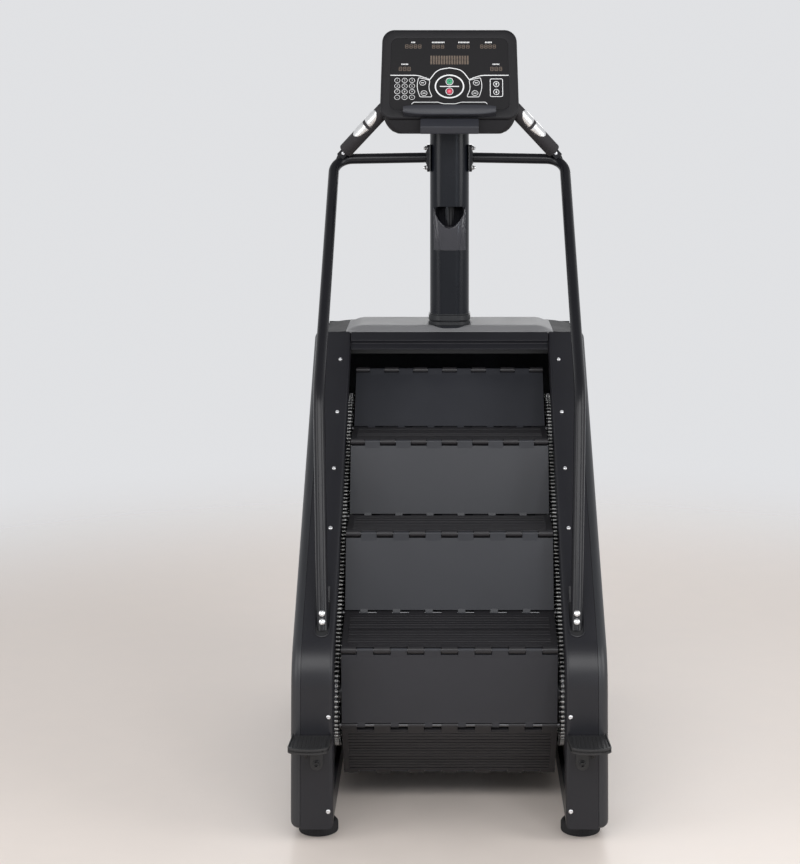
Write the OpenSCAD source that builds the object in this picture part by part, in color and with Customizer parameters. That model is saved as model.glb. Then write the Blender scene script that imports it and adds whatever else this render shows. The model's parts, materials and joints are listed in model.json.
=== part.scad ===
// Stair climber: revolving stairs on two endless chains, inside a covered frame,
// with a column, console and handrails.
// Frame: X to the user's right, +Y the way the user faces, +Z up, floor at z = 0.

/* [Stairs] */
// Slope of the stairs, in degrees
stair_angle = 39; // [36:0.5:41]
// Pitch of the step chains
chain_pitch = 12.7; // [12.7:0.1:12.8]
// Chain links between one step and the next
links_per_step = 25; // [25:1:26]
// Teeth on each chain sprocket
sprocket_teeth = 64; // [60:2:64]
// Width of a step
step_w = 552; // [540:2:556]
// Hinge-to-hinge depth of a tread
tread_depth = 196; // [192:1:198]
// Hinge-to-hinge height of a riser
riser_height = 204; // [200:1:208]
// Distance of tread 4's rear hinge above the lower tangent point
step_phase = 153.7; // [153:0.1:154]
// Middle of the chain loop along Y
loop_mid_y = 8.25; // [6:0.25:10]
// Middle of the chain loop above the floor
loop_mid_z = 568; // [566:1:572]
// Distance of each chain from the middle plane
chain_x = 290.5; // [290:0.5:291]

/* [Hinges] */
// Radius of a hinge knuckle
knuckle_r = 8.5; // [8:0.5:9]
// Radius of a hinge rod
rod_r = 4; // [3.5:0.5:4.5]
// Radial running clearance of the hinges and bearings
running_gap = 0.05; // [0.02:0.01:0.1]
// Spacing of the hinge tabs
tab_pitch = 86; // [85:1:87]
// Width of a tread tab
tab_w = 41; // [40:0.5:42]

/* [Body] */
// Half width over the side covers
cover_half_w = 397; // [395:1:402]
// Half width of the opening between the face trims
opening_half_w = 290; // [289:1:291]
// Height of the covers above the floor
cover_z = 36; // [34:1:40]
// Height of the top cover's edge
cover_top_z = 1162; // [1160:1:1166]
// Wall thickness of the moulded covers
wall = 4; // [3:0.5:5]

/* [Column and console] */
// Width of the column
column_w = 116; // [112:1:120]
// Depth of the column
column_d = 140; // [136:1:144]
// Middle of the column along Y
column_y = 395.5; // [394:0.5:397]
// Tilt of the console face from vertical, in degrees
console_tilt = 18; // [15:1:20]
// Width of the console face
console_w = 405; // [400:1:410]
// Height of the console face along its tilt
console_h = 275; // [270:1:280]

/* [Rails] */
// Diameter of the handrail tube
rail_d = 31; // [30:0.5:32]
// Diameter of the grip tube's rubber sleeve
sleeve_d = 44; // [42:0.5:46]

/* [Feet] */
// Diameter of a levelling foot
foot_d = 100; // [90:1:104]
// Distance of the feet from the middle plane
foot_x = 332; // [328:1:336]

/* [Hidden] */
$fn = 48;

// ---- Chain loop, in the Y-Z plane ----
up = [cos(stair_angle), sin(stair_angle)];
inward = [sin(stair_angle), -cos(stair_angle)];
step_pitch = chain_pitch * links_per_step;
step_count = 8;
sprocket_r = chain_pitch / (2 * sin(180 / sprocket_teeth));
half_turn = PI * sprocket_r;
straight = (step_count * step_pitch - 2 * half_turn) / 2;
loop_mid = [loop_mid_y, loop_mid_z];
low_axis = loop_mid - up * straight / 2;
high_axis = loop_mid + up * straight / 2;

function wrap_angle(length) = length / sprocket_r * 180 / PI;
// Point of the chain's pitch line, a given length up the front run from its lower tangent point
function on_chain(length) =
    let (s = (length + 2 * step_count * step_pitch) % (step_count * step_pitch))
    s <= straight ? low_axis - inward * sprocket_r + up * s
    : s <= straight + half_turn
        ? high_axis + sprocket_r * direction(90 + stair_angle - wrap_angle(s - straight))
    : s <= 2 * straight + half_turn
        ? high_axis + inward * sprocket_r - up * (s - straight - half_turn)
    : low_axis + sprocket_r * direction(stair_angle - 90 - wrap_angle(s - 2 * straight - half_turn));
function direction(angle) = [cos(angle), sin(angle)];
// Rear hinge of step k, numbered 1 to 8 from the top of the front run downwards
function rear_hinge(k) = on_chain(step_phase + (4 - k) * step_pitch);
// Nose hinge: where a tread and the riser below it meet, outside the loop
function nose_hinge(k) =
    let (top = rear_hinge(k), foot = rear_hinge(k + 1), chord = norm(top - foot),
        e = (top - foot) / chord,
        along = (pow(riser_height, 2) - pow(tread_depth, 2) + pow(chord, 2)) / (2 * chord),
        across = sqrt(pow(riser_height, 2) - pow(along, 2)))
    foot + along * e + across * [-e[1], e[0]];
function angle_of(v) = atan2(v[1], v[0]);

// ---- Body outline, in the Y-Z plane ----
face_slope = 0.81;
face_y0 = -42.5;
face_z0 = 876.5;
face_top_y = face_y0 + (cover_top_z - face_z0) / face_slope;
rear_low_y = -590.5;
bend_y = -575;
bend_z = face_z0 + face_slope * (bend_y - face_y0);
bend_r = 150;
shroud_top_y = 602.5;
shroud_mid = [657.5, 900];
front_y = 707.5;
function face_z(y) = face_z0 + face_slope * (y - face_y0);
face_dir = [1, face_slope] / norm([1, face_slope]);
face_out = [-face_dir[1], face_dir[0]];
low_dir = [bend_y - rear_low_y, bend_z - cover_z] / norm([bend_y - rear_low_y, bend_z - cover_z]);
// Rounded bend between the upright and the sloping part of the face
bend_half = (angle_of(low_dir) - angle_of(face_dir)) / 2;
bend_centre = [bend_y, bend_z] - low_dir * bend_r * tan(bend_half) + bend_r * [low_dir[1], -low_dir[0]];
bend_points = [for (i = [0:8])
    bend_centre + bend_r * direction(angle_of(low_dir) + 90 - i * 2 * bend_half / 8)];
front_points = [[shroud_top_y, cover_top_z], shroud_mid, [front_y, 300], [front_y, cover_z]];
body_outline = concat([[rear_low_y, cover_z]], bend_points, [[face_top_y, cover_top_z]], front_points);

// ---- Frame, shafts and drive ----
plate_x0 = 304;
plate_t = 6;
shaft_r = 12.5;
belt_x = 353;
belt_w = 22;
tube_wall = 3;
drive_pulley_r = 140;
motor_pulley_r = 35;
belt_t = 4;
belt_gap = 0.4;
motor_axis = [487.5, 230];
post_y0 = 390;
post_y1 = 450;
beam_z = 1085;
sprocket_t = 5.5;
plate_gap = 9;
link_plate_t = 3.5;

// ---- Column and console ----
column_z0 = 1133;
column_top = 1790;
console_y = 197.5;
console_z = 1790;
face_t = 16;

// ---- Handrails, left side at negative X ----
rail_foot = [323, -482.5, 527];
rail_bend = [346, -280.5, 1081];
rail_elbow = [341, 347.5, 1668];
rail_end = [84, 372, 1672];
grip_low = [304, 325, 1697];
grip_high = [196, 259, 1811];

// ==== Helpers ====
module along_x(x0, x1) {
    translate([x0, 0, 0]) rotate([90, 0, 90]) linear_extrude(x1 - x0) children();
}
module rod_x(point, r, x0, x1) {
    along_x(x0, x1) translate(point) circle(r);
}
module both_sides() {
    children();
    mirror([1, 0, 0]) children();
}
module rounded_box(w, d, r) {
    square([w - 2 * r, d], center = true);
    square([w, d - 2 * r], center = true);
    for (sx = [-1, 1])
        for (sy = [-1, 1])
            translate([sx * (w / 2 - r), sy * (d / 2 - r)]) circle(r);
}
// Straight round bar between two points
module bar(a, b, r) {
    v = b - a;
    translate(a)
        rotate([0, acos(v[2] / norm(v)), atan2(v[1], v[0])])
            cylinder(r = r, h = norm(v));
}

// ==== Treads and risers ====
tread_top = 7;
tread_t = 12;
riser_t = 8;
notch = 20;
tab_gap = 1.5;
riser_tab_w = 20;
function tab_xs() = [for (i = [-3:3]) i * tab_pitch];
// Left and right edges of a tread tab, held inside the step's width
function tab_x0(x) = max(x - tab_w / 2, -step_w / 2);
function tab_x1(x) = min(x + tab_w / 2, step_w / 2);

// Draws children with the origin at point a and the local X axis towards point b
module from_to(a, b) {
    translate(a) rotate(angle_of(b - a)) children();
}
module hinge_hole(point) {
    rod_x(point, rod_r + running_gap, -step_w, step_w);
}
// Tread k: ribbed plate with knuckles round the rear and the nose rods
module tread(k) {
    rear = rear_hinge(k);
    nose = nose_hinge(k);
    reach = tread_depth;
    difference() {
        union() {
            along_x(-step_w / 2, step_w / 2)
                from_to(rear, nose)
                    translate([12, -tread_top]) square([reach - 12 - notch, tread_t]);
            for (x = tab_xs())
                along_x(tab_x0(x), tab_x1(x)) {
                    from_to(rear, nose)
                        translate([0, -tread_top]) square([reach, tread_t]);
                    translate(rear) circle(knuckle_r);
                    translate(nose) circle(knuckle_r);
                }
        }
        hinge_hole(rear);
        hinge_hole(nose);
    }
}
// Riser k: plate from tread k's nose down to the next rear hinge
module riser(k, open_foot = false) {
    nose = nose_hinge(k);
    foot = rear_hinge(k + 1);
    foot_stop = open_foot ? 20 : 12;
    difference() {
        union() {
            along_x(-step_w / 2, step_w / 2)
                from_to(nose, foot)
                    translate([notch - 7, -riser_t / 2]) square([riser_height - notch + 7 - foot_stop, riser_t]);
            for (x = tab_xs())
                if (x < 3 * tab_pitch) {
                    x0 = x + tab_w / 2 + tab_gap;
                    along_x(x0, x0 + tab_pitch - tab_w - 2 * tab_gap) {
                        from_to(nose, foot)
                            translate([0, -riser_t / 2]) square([notch, riser_t]);
                        translate(nose) circle(knuckle_r);
                    }
                    if (!open_foot)
                        along_x(x0, x0 + riser_tab_w) {
                            from_to(nose, foot)
                                translate([riser_height - 14, -riser_t / 2]) square([14, riser_t]);
                            translate(foot) circle(knuckle_r);
                        }
                }
        }
        hinge_hole(nose);
        if (!open_foot) hinge_hole(foot);
    }
}
rod_half = 281.5;
module hinge_rod(point) {
    rod_x(point, rod_r, -rod_half, rod_half);
    for (s = [-1, 1])
        along_x(s * (rod_half - 2) - 2, s * (rod_half - 2) + 2)
            translate(point) circle(rod_r + 3.5);
}
module nose_rod(point) {
    rod_x(point, rod_r, -step_w / 2, step_w / 2);
}
tread_colour = [0.10, 0.10, 0.11];
riser_colour = [0.27, 0.27, 0.30];
module front_treads() {
    color(tread_colour) for (k = [2, 3]) tread(k);
}
module front_risers() {
    color(riser_colour) for (k = [2, 3]) riser(k);
}
module front_hinge_rods() {
    color("silver") {
        for (k = [2:4]) hinge_rod(rear_hinge(k));
        for (k = [2, 3]) nose_rod(nose_hinge(k));
    }
}
module return_treads() {
    color(tread_colour) for (k = [6, 7]) tread(k);
}
module return_risers() {
    color(riser_colour) for (k = [6, 7]) riser(k);
}
module return_hinge_rods() {
    color("silver") {
        for (k = [6:8]) hinge_rod(rear_hinge(k));
        for (k = [6, 7]) nose_rod(nose_hinge(k));
    }
}
// The steps on the two wraps carry their nose rods with the tread
module wrap_tread(k) {
    color(tread_colour) {
        tread(k);
        nose_rod(nose_hinge(k));
    }
}
module bottom_tread() wrap_tread(4);
module under_tread() wrap_tread(5);
module top_tread() {
    color(tread_colour) {
        open_tread(1);
        nose_rod(nose_hinge(1));
    }
}
module back_tread() wrap_tread(8);
module bottom_riser() {
    color(riser_colour) riser(4, open_foot = true);
}
module under_riser() {
    color(riser_colour) riser(5, open_foot = true);
}
module back_riser() {
    color(riser_colour) riser(8, open_foot = true);
}
module top_riser() {
    color(riser_colour) riser(1);
}
// Tread whose rear edge stops clear of its hinge rod
module open_tread(k) {
    rear = rear_hinge(k);
    nose = nose_hinge(k);
    difference() {
        union() {
            along_x(-step_w / 2, step_w / 2)
                from_to(rear, nose)
                    translate([20, -tread_top]) square([tread_depth - 20 - notch, tread_t]);
            for (x = tab_xs())
                along_x(tab_x0(x), tab_x1(x)) {
                    from_to(rear, nose)
                        translate([tread_depth - notch - 1, -tread_top]) square([notch + 1, tread_t]);
                    translate(nose) circle(knuckle_r);
                }
        }
        hinge_hole(nose);
    }
}
module top_hinge_rod() {
    color("silver") hinge_rod(rear_hinge(1));
}
module low_hinge_rod() {
    color("silver") hinge_rod(rear_hinge(5));
}

// ==== Chains, sprockets, shafts and drive ====
// Band that follows the chain's pitch line, d to each side
module loop_2d(d) {
    for (c = [low_axis, high_axis]) translate(c) circle(sprocket_r + d, $fn = 96);
    translate(low_axis) rotate(stair_angle)
        translate([0, -sprocket_r - d]) square([straight, 2 * (sprocket_r + d)]);
}
module step_chains() {
    color([0.12, 0.12, 0.12]) both_sides() {
        for (x = [chain_x - plate_gap / 2 - link_plate_t, chain_x + plate_gap / 2])
            along_x(x, x + link_plate_t) difference() {
                loop_2d(5.5);
                loop_2d(-5.5);
            }
        for (run = [4 * chain_pitch : 5 * chain_pitch : straight - 45])
            for (s = [run, straight + half_turn + run])
                rod_x(on_chain(s), 2.5, chain_x - plate_gap / 2 - 1, chain_x + plate_gap / 2 + 1);
    }
}
// Toothed outline: four points to a tooth
module tooth_outline() {
    root = sprocket_r - 4.5;
    tip = sprocket_r + 3;
    step = 360 / sprocket_teeth;
    polygon([for (i = [0:sprocket_teeth - 1])
        for (p = [[-0.28, root], [-0.12, tip], [0.12, tip], [0.28, root]])
            p[1] * direction((i + p[0]) * step)]);
}
module sprocket_pair(axis) {
    both_sides() {
        along_x(chain_x - sprocket_t / 2, chain_x + sprocket_t / 2)
            translate(axis) difference() {
                tooth_outline();
                circle(shaft_r);
                for (a = [0:60:300])
                    rotate(a) translate([sprocket_r * 0.58, 0]) circle(24);
            }
        along_x(262, chain_x - sprocket_t / 2)
            translate(axis) difference() {
                circle(28);
                circle(shaft_r);
            }
    }
}
module drive_sprockets() {
    color([0.45, 0.45, 0.47]) sprocket_pair(high_axis);
}
module idler_sprockets() {
    color([0.45, 0.45, 0.47]) sprocket_pair(low_axis);
}
module drive_shaft() {
    color("silver") rod_x(high_axis, shaft_r, -334, belt_x + belt_w + 4);
}
module idler_shaft() {
    color("silver") rod_x(low_axis, shaft_r, -334, 334);
}
module shaft_bearings() {
    color([0.35, 0.37, 0.40])
        for (c = [low_axis, high_axis])
            both_sides() along_x(plate_x0 + plate_t, 330) translate(c) difference() {
                circle(38);
                circle(shaft_r + running_gap);
            }
}
module drive_pulley() {
    color([0.30, 0.30, 0.32])
        along_x(belt_x + 1, belt_x + belt_w - 1) translate(high_axis) difference() {
            circle(drive_pulley_r, $fn = 96);
            circle(shaft_r);
            for (a = [0:72:288])
                rotate(a) translate([drive_pulley_r * 0.58, 0]) circle(28);
        }
}
motor_x1 = 286;
module motor_pulley() {
    color([0.5, 0.5, 0.52]) {
        rod_x(motor_axis, 9, motor_x1 - 30, belt_x + belt_w + 2);
        rod_x(motor_axis, motor_pulley_r, belt_x + 1, belt_x + belt_w - 1);
    }
}
module belt_2d(d) {
    hull() {
        translate(high_axis) circle(drive_pulley_r + belt_gap + d, $fn = 96);
        translate(motor_axis) circle(motor_pulley_r + belt_gap + d);
    }
}
module drive_belt() {
    color([0.06, 0.06, 0.06])
        along_x(belt_x + 2, belt_x + belt_w - 2) difference() {
            belt_2d(belt_t);
            belt_2d(0);
        }
}
module drive_motor() {
    color([0.20, 0.22, 0.24]) difference() {
        union() {
            rod_x(motor_axis, 72, 96, motor_x1 - 16);
            rod_x(motor_axis, 78, 84, 104);
            rod_x(motor_axis, 78, motor_x1 - 34, motor_x1);
            translate([110, motor_axis[0] - 60, 104]) cube([150, 120, 66]);
        }
        rod_x(motor_axis, 9 + running_gap, motor_x1 - 30, motor_x1 + 1);
    }
}
controller_size = [210, 110, 140];
module controller_box() {
    color([0.55, 0.56, 0.58]) translate([-250, 440, 104]) difference() {
        cube(controller_size);
        translate([2, 2, -1]) cube(controller_size - [4, 4, 1]);
    }
}

// ==== Welded frame and feet ====
feet_y = [-495.5, 617.5];
cross_tube_y = [400, 570];
base_x = plate_x0 - 12;
base_w = 80;
base_y = [-560, 680];
base_h = 60;
base_top = cover_z + 2 + base_h;
post_w = 40;
beam_h = 40;
// Square tube along one axis (0 = X, 1 = Y, 2 = Z), open at both ends
module box_tube(corner, size, axis) {
    inset = [for (i = [0:2]) i == axis ? -1 : tube_wall];
    difference() {
        translate(corner) cube(size);
        translate(corner + inset) cube(size - 2 * inset);
    }
}
module main_frame() {
    color([0.13, 0.13, 0.14]) difference() {
        union() {
            both_sides() {
                box_tube([base_x, base_y[0], cover_z + 2], [base_w, base_y[1] - base_y[0], base_h], 1);
                side_plate();
                box_tube([plate_x0 + plate_t, post_y0, base_top - 2],
                    [post_w, post_y1 - post_y0, beam_z - base_top + 3], 2);
                rail_bracket();
                peg_bracket();
            }
            box_tube([-plate_x0 - plate_t - post_w, post_y0, beam_z],
                [2 * (plate_x0 + plate_t + post_w), post_y1 - post_y0, beam_h], 0);
            translate([-90, 320, beam_z + beam_h]) cube([180, 150, 8]);
            for (y = cross_tube_y)
                box_tube([-base_x - 2, y, cover_z + 2], [2 * base_x + 4, 50, base_h], 0);
            for (x = [90, -270])
                translate([x, cross_tube_y[0], base_top - 2])
                    cube([x > 0 ? 190 : 250, cross_tube_y[1] - cross_tube_y[0] + 20, 8]);
            wheel_brackets();
        }
        for (y = feet_y)
            for (s = [-1, 1])
                translate([s * foot_x, y, 0]) cylinder(r = 8, h = 200);
    }
}
// Laser-cut plate outside each chain, with holes for the two shafts
module side_plate() {
    along_x(plate_x0, plate_x0 + plate_t) difference() {
        polygon([[-520, 80], [-520, 400], [-470, 470], [high_axis[0] - 130, high_axis[1] + 150],
            [post_y1, beam_z + 30], [post_y1, 80], [300, 80], [300, 420], [-120, 90]]);
        for (c = [low_axis, high_axis]) translate(c) circle(24);
    }
}
bracket_back = 42;
module rail_bracket() {
    lean = atan2(rail_run[1], rail_run[2]);
    translate([plate_x0 + plate_t - 2, rail_foot[1] + bracket_back - 12, rail_foot[2] - 20])
        rotate([-lean, 0, 0]) cube([26, 10, 96]);
    translate([plate_x0 + plate_t - 1, rail_foot[1] + 16, rail_foot[2] - 90])
        cube([27, 60, 80]);
    translate([plate_x0, rail_foot[1] + 16, rail_foot[2] - 130]) cube([plate_t, 60, 120]);
}
module peg_bracket() {
    translate([plate_x0, -577, 150]) cube([54, 60, 8]);
    translate([plate_x0, -577, 150]) cube([54, 8, 100]);
}
wheel_y = 668;
wheel_z = 31;
wheel_r = 29;
wheel_x = 250;
module wheel_brackets() {
    for (s = [-1, 1])
        translate([s * wheel_x, 0, 0]) {
            for (t = [-1, 1])
                translate([t * 17 - 2.5, cross_tube_y[1] + 45, 20]) cube([5, 70, 34]);
            rod_x([wheel_y, wheel_z], 5, -16, 16);
        }
}
module transport_wheel(x) {
    color([0.08, 0.08, 0.08])
        along_x(x - 11, x + 11) translate([wheel_y, wheel_z]) difference() {
            circle(wheel_r);
            circle(5 + running_gap);
        }
}
module transport_wheel_left() transport_wheel(-wheel_x);
module transport_wheel_right() transport_wheel(wheel_x);
module foot_studs() {
    color("silver")
        for (y = feet_y)
            for (s = [-1, 1])
                translate([s * foot_x, y, 0]) {
                    translate([0, 0, 14]) cylinder(r = 8, h = 110);
                    translate([0, 0, 28]) cylinder(r = 13, h = 9, $fn = 6);
                    translate([0, 0, base_top]) cylinder(r = 13, h = 12, $fn = 6);
                }
}
module foot_pads() {
    color([0.10, 0.10, 0.10])
        for (y = feet_y)
            for (s = [-1, 1])
                translate([s * foot_x, y, 0]) difference() {
                    union() {
                        cylinder(d = foot_d, h = 24);
                        cylinder(d1 = foot_d, d2 = foot_d - 12, h = 28);
                    }
                    translate([0, 0, 14]) cylinder(r = 8, h = 20);
                }
}

// ==== Covers ====
module outline_2d(inset = 0) {
    offset(delta = -inset) polygon(body_outline);
}
edge_r = 22;
seam_x = 372;
seam_gap = 0.5;
// Pillow-edged side panel, hollow towards the machine
module side_shell() {
    difference() {
        side_solid(0, seam_x + seam_gap);
        side_solid(wall, seam_x - 1);
    }
}
module side_solid(inset, x0) {
    hull() {
        along_x(x0, x0 + 1) outline_2d(inset);
        for (a = [0, 30, 60, 90]) {
            x = cover_half_w - edge_r + (edge_r - inset) * sin(a);
            along_x(x - 0.5, x) outline_2d(edge_r * (1 - cos(a)) + inset);
        }
    }
}
module side_cover_right() {
    color([0.19, 0.19, 0.21]) side_shell();
}
module side_cover_left() {
    color([0.19, 0.19, 0.21]) mirror([1, 0, 0]) side_shell();
}
flange_depth = 60;
flange_end_y = -465;
// Strip over the face from the floor edge up to the top cover
module face_trim() {
    difference() {
        union() {
            along_x(opening_half_w, seam_x) difference() {
                outline_2d();
                outline_2d(wall);
                translate([face_top_y - 2, 0]) square([600, 1300]);
                translate([rear_low_y + wall + 20, 0]) square([1400, cover_z + wall + 1]);
            }
            along_x(opening_half_w, opening_half_w + 3) difference() {
                outline_2d(wall - 1);
                translate([0, -flange_depth]) outline_2d(wall);
                translate([flange_end_y, 0]) square([1400, 1300]);
                translate([-566, 120]) square([1400, 64]);
            }
        }
        translate([rail_foot[0], rail_foot[1] + 12, rail_foot[2] + 10]) rotate([-39, 0, 0])
            cube([36, 90, 126], center = true);
        face_screws(3.1);
    }
}
module face_trim_right() {
    color([0.15, 0.15, 0.17]) face_trim();
}
module face_trim_left() {
    color([0.15, 0.15, 0.17]) mirror([1, 0, 0]) face_trim();
}
hump = 14;
module top_cover() {
    color([0.45, 0.45, 0.47]) difference() {
        hull() {
            translate([-seam_x, face_top_y + 1, cover_top_z - wall])
                cube([2 * seam_x, shroud_top_y - face_top_y - 2, wall]);
            translate([-269, face_top_y + 34, cover_top_z + hump - 3])
                cube([538, shroud_top_y - face_top_y - 80, 3]);
        }
        hull() {
            translate([wall - seam_x, face_top_y + 5, cover_top_z - wall - 1])
                cube([2 * (seam_x - wall), shroud_top_y - face_top_y - 10, wall]);
            translate([-266, face_top_y + 38, cover_top_z + hump - 8])
                cube([532, shroud_top_y - face_top_y - 88, 3]);
        }
        translate([0, column_y, cover_top_z - 20]) linear_extrude(60)
            rounded_box(column_w + 2, column_d + 2, 46);
    }
}
module front_shroud() {
    top = [shroud_top_y - 0.5, cover_top_z - wall - 1];
    color([0.17, 0.17, 0.19]) along_x(-seam_x, seam_x)
        polygon([top, shroud_mid, [front_y, 300], [front_y, cover_z], [front_y - wall, cover_z],
            [front_y - wall, 300], shroud_mid - [wall, 0.5], top - [wall, 0]]);
}
header_drop = 22;
header_strip = 15;
header_recess = 12;
// Panel across the top of the opening: a lip in the face plane and a recessed strip below it
module header_panel() {
    lip_top = [face_top_y - 1.8, cover_top_z - 1.5];
    lip_low = lip_top - face_dir * header_drop / face_dir[1];
    strip_top = lip_low - face_out * header_recess;
    strip_low = strip_top - face_dir * header_strip / face_dir[1];
    back = -face_out * wall;
    color([0.14, 0.14, 0.15]) along_x(seam_gap - opening_half_w, opening_half_w - seam_gap)
        polygon([lip_top, lip_low, strip_top, strip_low, strip_low + back,
            strip_top + back + face_dir * wall, lip_low + back + face_dir * wall, lip_top + back]);
}
// Face screws: heights on the slope, then two on the upright part
screw_zs = [1091, 964.5, 836.5, 708.6, 585.5];
module face_screw(x, y, z, tilt, shank_r) {
    translate([x, y, z]) rotate([tilt, 0, 0]) {
        if (shank_r < 3.05) translate([0, 0, 0.02]) cylinder(r = 5.8, h = 3);
        translate([0, 0, -12]) cylinder(r = shank_r, h = 13);
    }
}
module face_screws(shank_r) {
    for (z = screw_zs)
        face_screw(317, face_y0 + (z - face_z0) / face_slope, z, angle_of(face_dir), shank_r);
    for (z = [312, 80])
        face_screw(302, rear_low_y + (z - cover_z) * low_dir[0] / low_dir[1], z, angle_of(low_dir), shank_r);
}
module cover_screws() {
    color("silver") both_sides() face_screws(3);
}

// ==== Foot pegs ====
peg_z = 269;
peg_bolt = [331, 199];
module peg_plan() {
    polygon([[291, -586], [391, -586], [396, -688], [380, -699], [346, -706.5], [314, -700], [296, -690]]);
}
module foot_pegs() {
    color([0.12, 0.12, 0.13]) both_sides() {
        translate([0, 0, peg_z - 6]) linear_extrude(6) intersection() {
            peg_plan();
            translate([280, -708]) square([140, 120]);
        }
        translate([0, 0, peg_z - 10]) linear_extrude(14) difference() {
            peg_plan();
            offset(delta = -7) peg_plan();
            translate([297, -690]) square([92, 110]);
            translate([280, -592]) square([140, 20]);
        }
        along_x(352, 360)
            polygon([[-588, peg_z - 5], [-588, peg_z - 54], [-600, peg_z - 54], [-664, peg_z - 5]]);
        translate([peg_bolt[0] - 16, -592, peg_bolt[1]]) cube([32, 5, peg_z - 5 - peg_bolt[1]]);
        translate([peg_bolt[0], -587, peg_bolt[1]]) rotate([90, 0, 0]) cylinder(r = 16, h = 5);
    }
}

// ==== Column ====
pocket_z0 = 1399;
pocket_z1 = 1528;
module column_2d(d) {
    rounded_box(column_w - 2 * d, column_d - 2 * d, 45 - d);
}
module pocket_mouth() {
    near = column_y - column_d / 2 - 5;
    translate([0, near, 0]) rotate([-90, 0, 0]) linear_extrude(40)
        polygon([[-43, -1510], [-39, -1523], [-30, -pocket_z1], [30, -pocket_z1], [39, -1523],
            [43, -1510], [36, -1494], [14, -1468], [0, -1463], [-14, -1468], [-36, -1494]]);
    translate([-43, near, pocket_z0 + 6]) cube([86, 30, 80]);
}
module column() {
    color([0.13, 0.13, 0.14]) difference() {
        translate([0, column_y, column_z0]) linear_extrude(column_top - column_z0) difference() {
            column_2d(0);
            column_2d(3);
        }
        pocket_mouth();
    }
}
module column_collar() {
    color([0.16, 0.16, 0.17]) translate([0, column_y, 0]) difference() {
        union() {
            translate([0, 0, cover_top_z + hump + 1]) linear_extrude(14)
                rounded_box(column_w + 14, column_d + 14, 50);
            translate([0, 0, 1182]) linear_extrude(28) rounded_box(column_w + 5, column_d + 5, 47);
        }
        translate([0, 0, 1100]) linear_extrude(200) column_2d(0);
    }
}
module bottle_cup() {
    color([0.03, 0.03, 0.03]) translate([0, column_y - 18, 0]) difference() {
        translate([0, 0, pocket_z0 + 2]) cylinder(r = 44, h = 126);
        translate([0, 0, pocket_z0 + 6]) cylinder(r = 41, h = 140);
        translate([-50, -80, pocket_z0 + 60]) cube([100, 60, 90]);
    }
}
// Curved smoked cover in front of the pocket
module pocket_window() {
    color([0.25, 0.25, 0.27, 0.5]) translate([0, column_y, 0]) difference() {
        translate([0, 0, pocket_z0]) linear_extrude(pocket_z1 - pocket_z0) difference() {
            column_2d(-4);
            column_2d(-0.5);
            translate([-100, -18]) square([200, 200]);
        }
        translate([0, -40, 0]) rotate([90, 0, 0]) linear_extrude(60)
            polygon([[0, 1463], [15, 1468], [38, 1494], [46, 1512], [46, 1540], [-46, 1540],
                [-46, 1512], [-38, 1494], [-15, 1468]]);
        for (s = [-1, 1]) translate([s * 97.5, -50, 1450]) cube([100, 120, 200], center = true);
    }
}

// ==== Handrails ====
rail_run = rail_bend - rail_foot;
rail_points = [rail_foot - 0.045 * rail_run, rail_bend, rail_elbow, rail_end];
rail_wall = 2.5;
// Bent tube: straight runs joined by balls a little fuller than the tube
module rail_tube(r, fuller) {
    for (i = [0:2]) bar(rail_points[i], rail_points[i + 1], r);
    for (i = [1, 2]) translate(rail_points[i]) sphere(r = r + fuller);
}
flange_x = column_w / 2;
grip_root = [327, 339, 1662];
lug_r = 9;
module handrail() {
    difference() {
        rail_tube(rail_d / 2, 1.5);
        rail_tube(rail_d / 2 - rail_wall, 0.6);
    }
    difference() {
        translate([flange_x + 0.5, rail_end[1] - 30, 1630]) cube([8, 60, 81]);
        for (z = [1642, 1700])
            translate([flange_x - 5, rail_end[1], z]) rotate([0, 90, 0]) cylinder(r = 5.5, h = 30);
    }
    rod_x([rail_end[1], rail_end[2]], rail_d / 2 + 3, flange_x + 8, rail_end[0] + 8);
    bar(grip_root, grip_low - 28 * grip_dir, lug_r);
    bar(grip_low - 30 * grip_dir, grip_low, lug_r);
}
module handrail_right() {
    color([0.17, 0.17, 0.18]) handrail();
}
module handrail_left() {
    color([0.17, 0.17, 0.18]) mirror([1, 0, 0]) handrail();
}
function mix3(a, b, t) = a + (b - a) * t;
grip_dir = (grip_high - grip_low) / norm(grip_high - grip_low);
module grip_tubes() {
    color([0.17, 0.17, 0.18]) both_sides() bar(grip_low, grip_high, 12.5);
}
module grip_sleeves() {
    color([0.05, 0.05, 0.05]) both_sides() difference() {
        bar(mix3(grip_low, grip_high, 0.12), mix3(grip_low, grip_high, 0.90), sleeve_d / 2);
        bar(grip_low, grip_high, 12.5);
    }
}
pulse_shift = [0, -40, 10];
module pulse_plates() {
    color([0.8, 0.8, 0.8]) both_sides()
        for (t = [[0.2, 0.48], [0.55, 0.83]])
            intersection() {
                difference() {
                    bar(mix3(grip_low, grip_high, t[0]), mix3(grip_low, grip_high, t[1]), sleeve_d / 2 + 1.6);
                    bar(grip_low, grip_high, sleeve_d / 2 + 0.05);
                }
                translate(pulse_shift)
                    bar(mix3(grip_low, grip_high, t[0] - 0.1), mix3(grip_low, grip_high, t[1] + 0.1), 34);
            }
}
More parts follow.
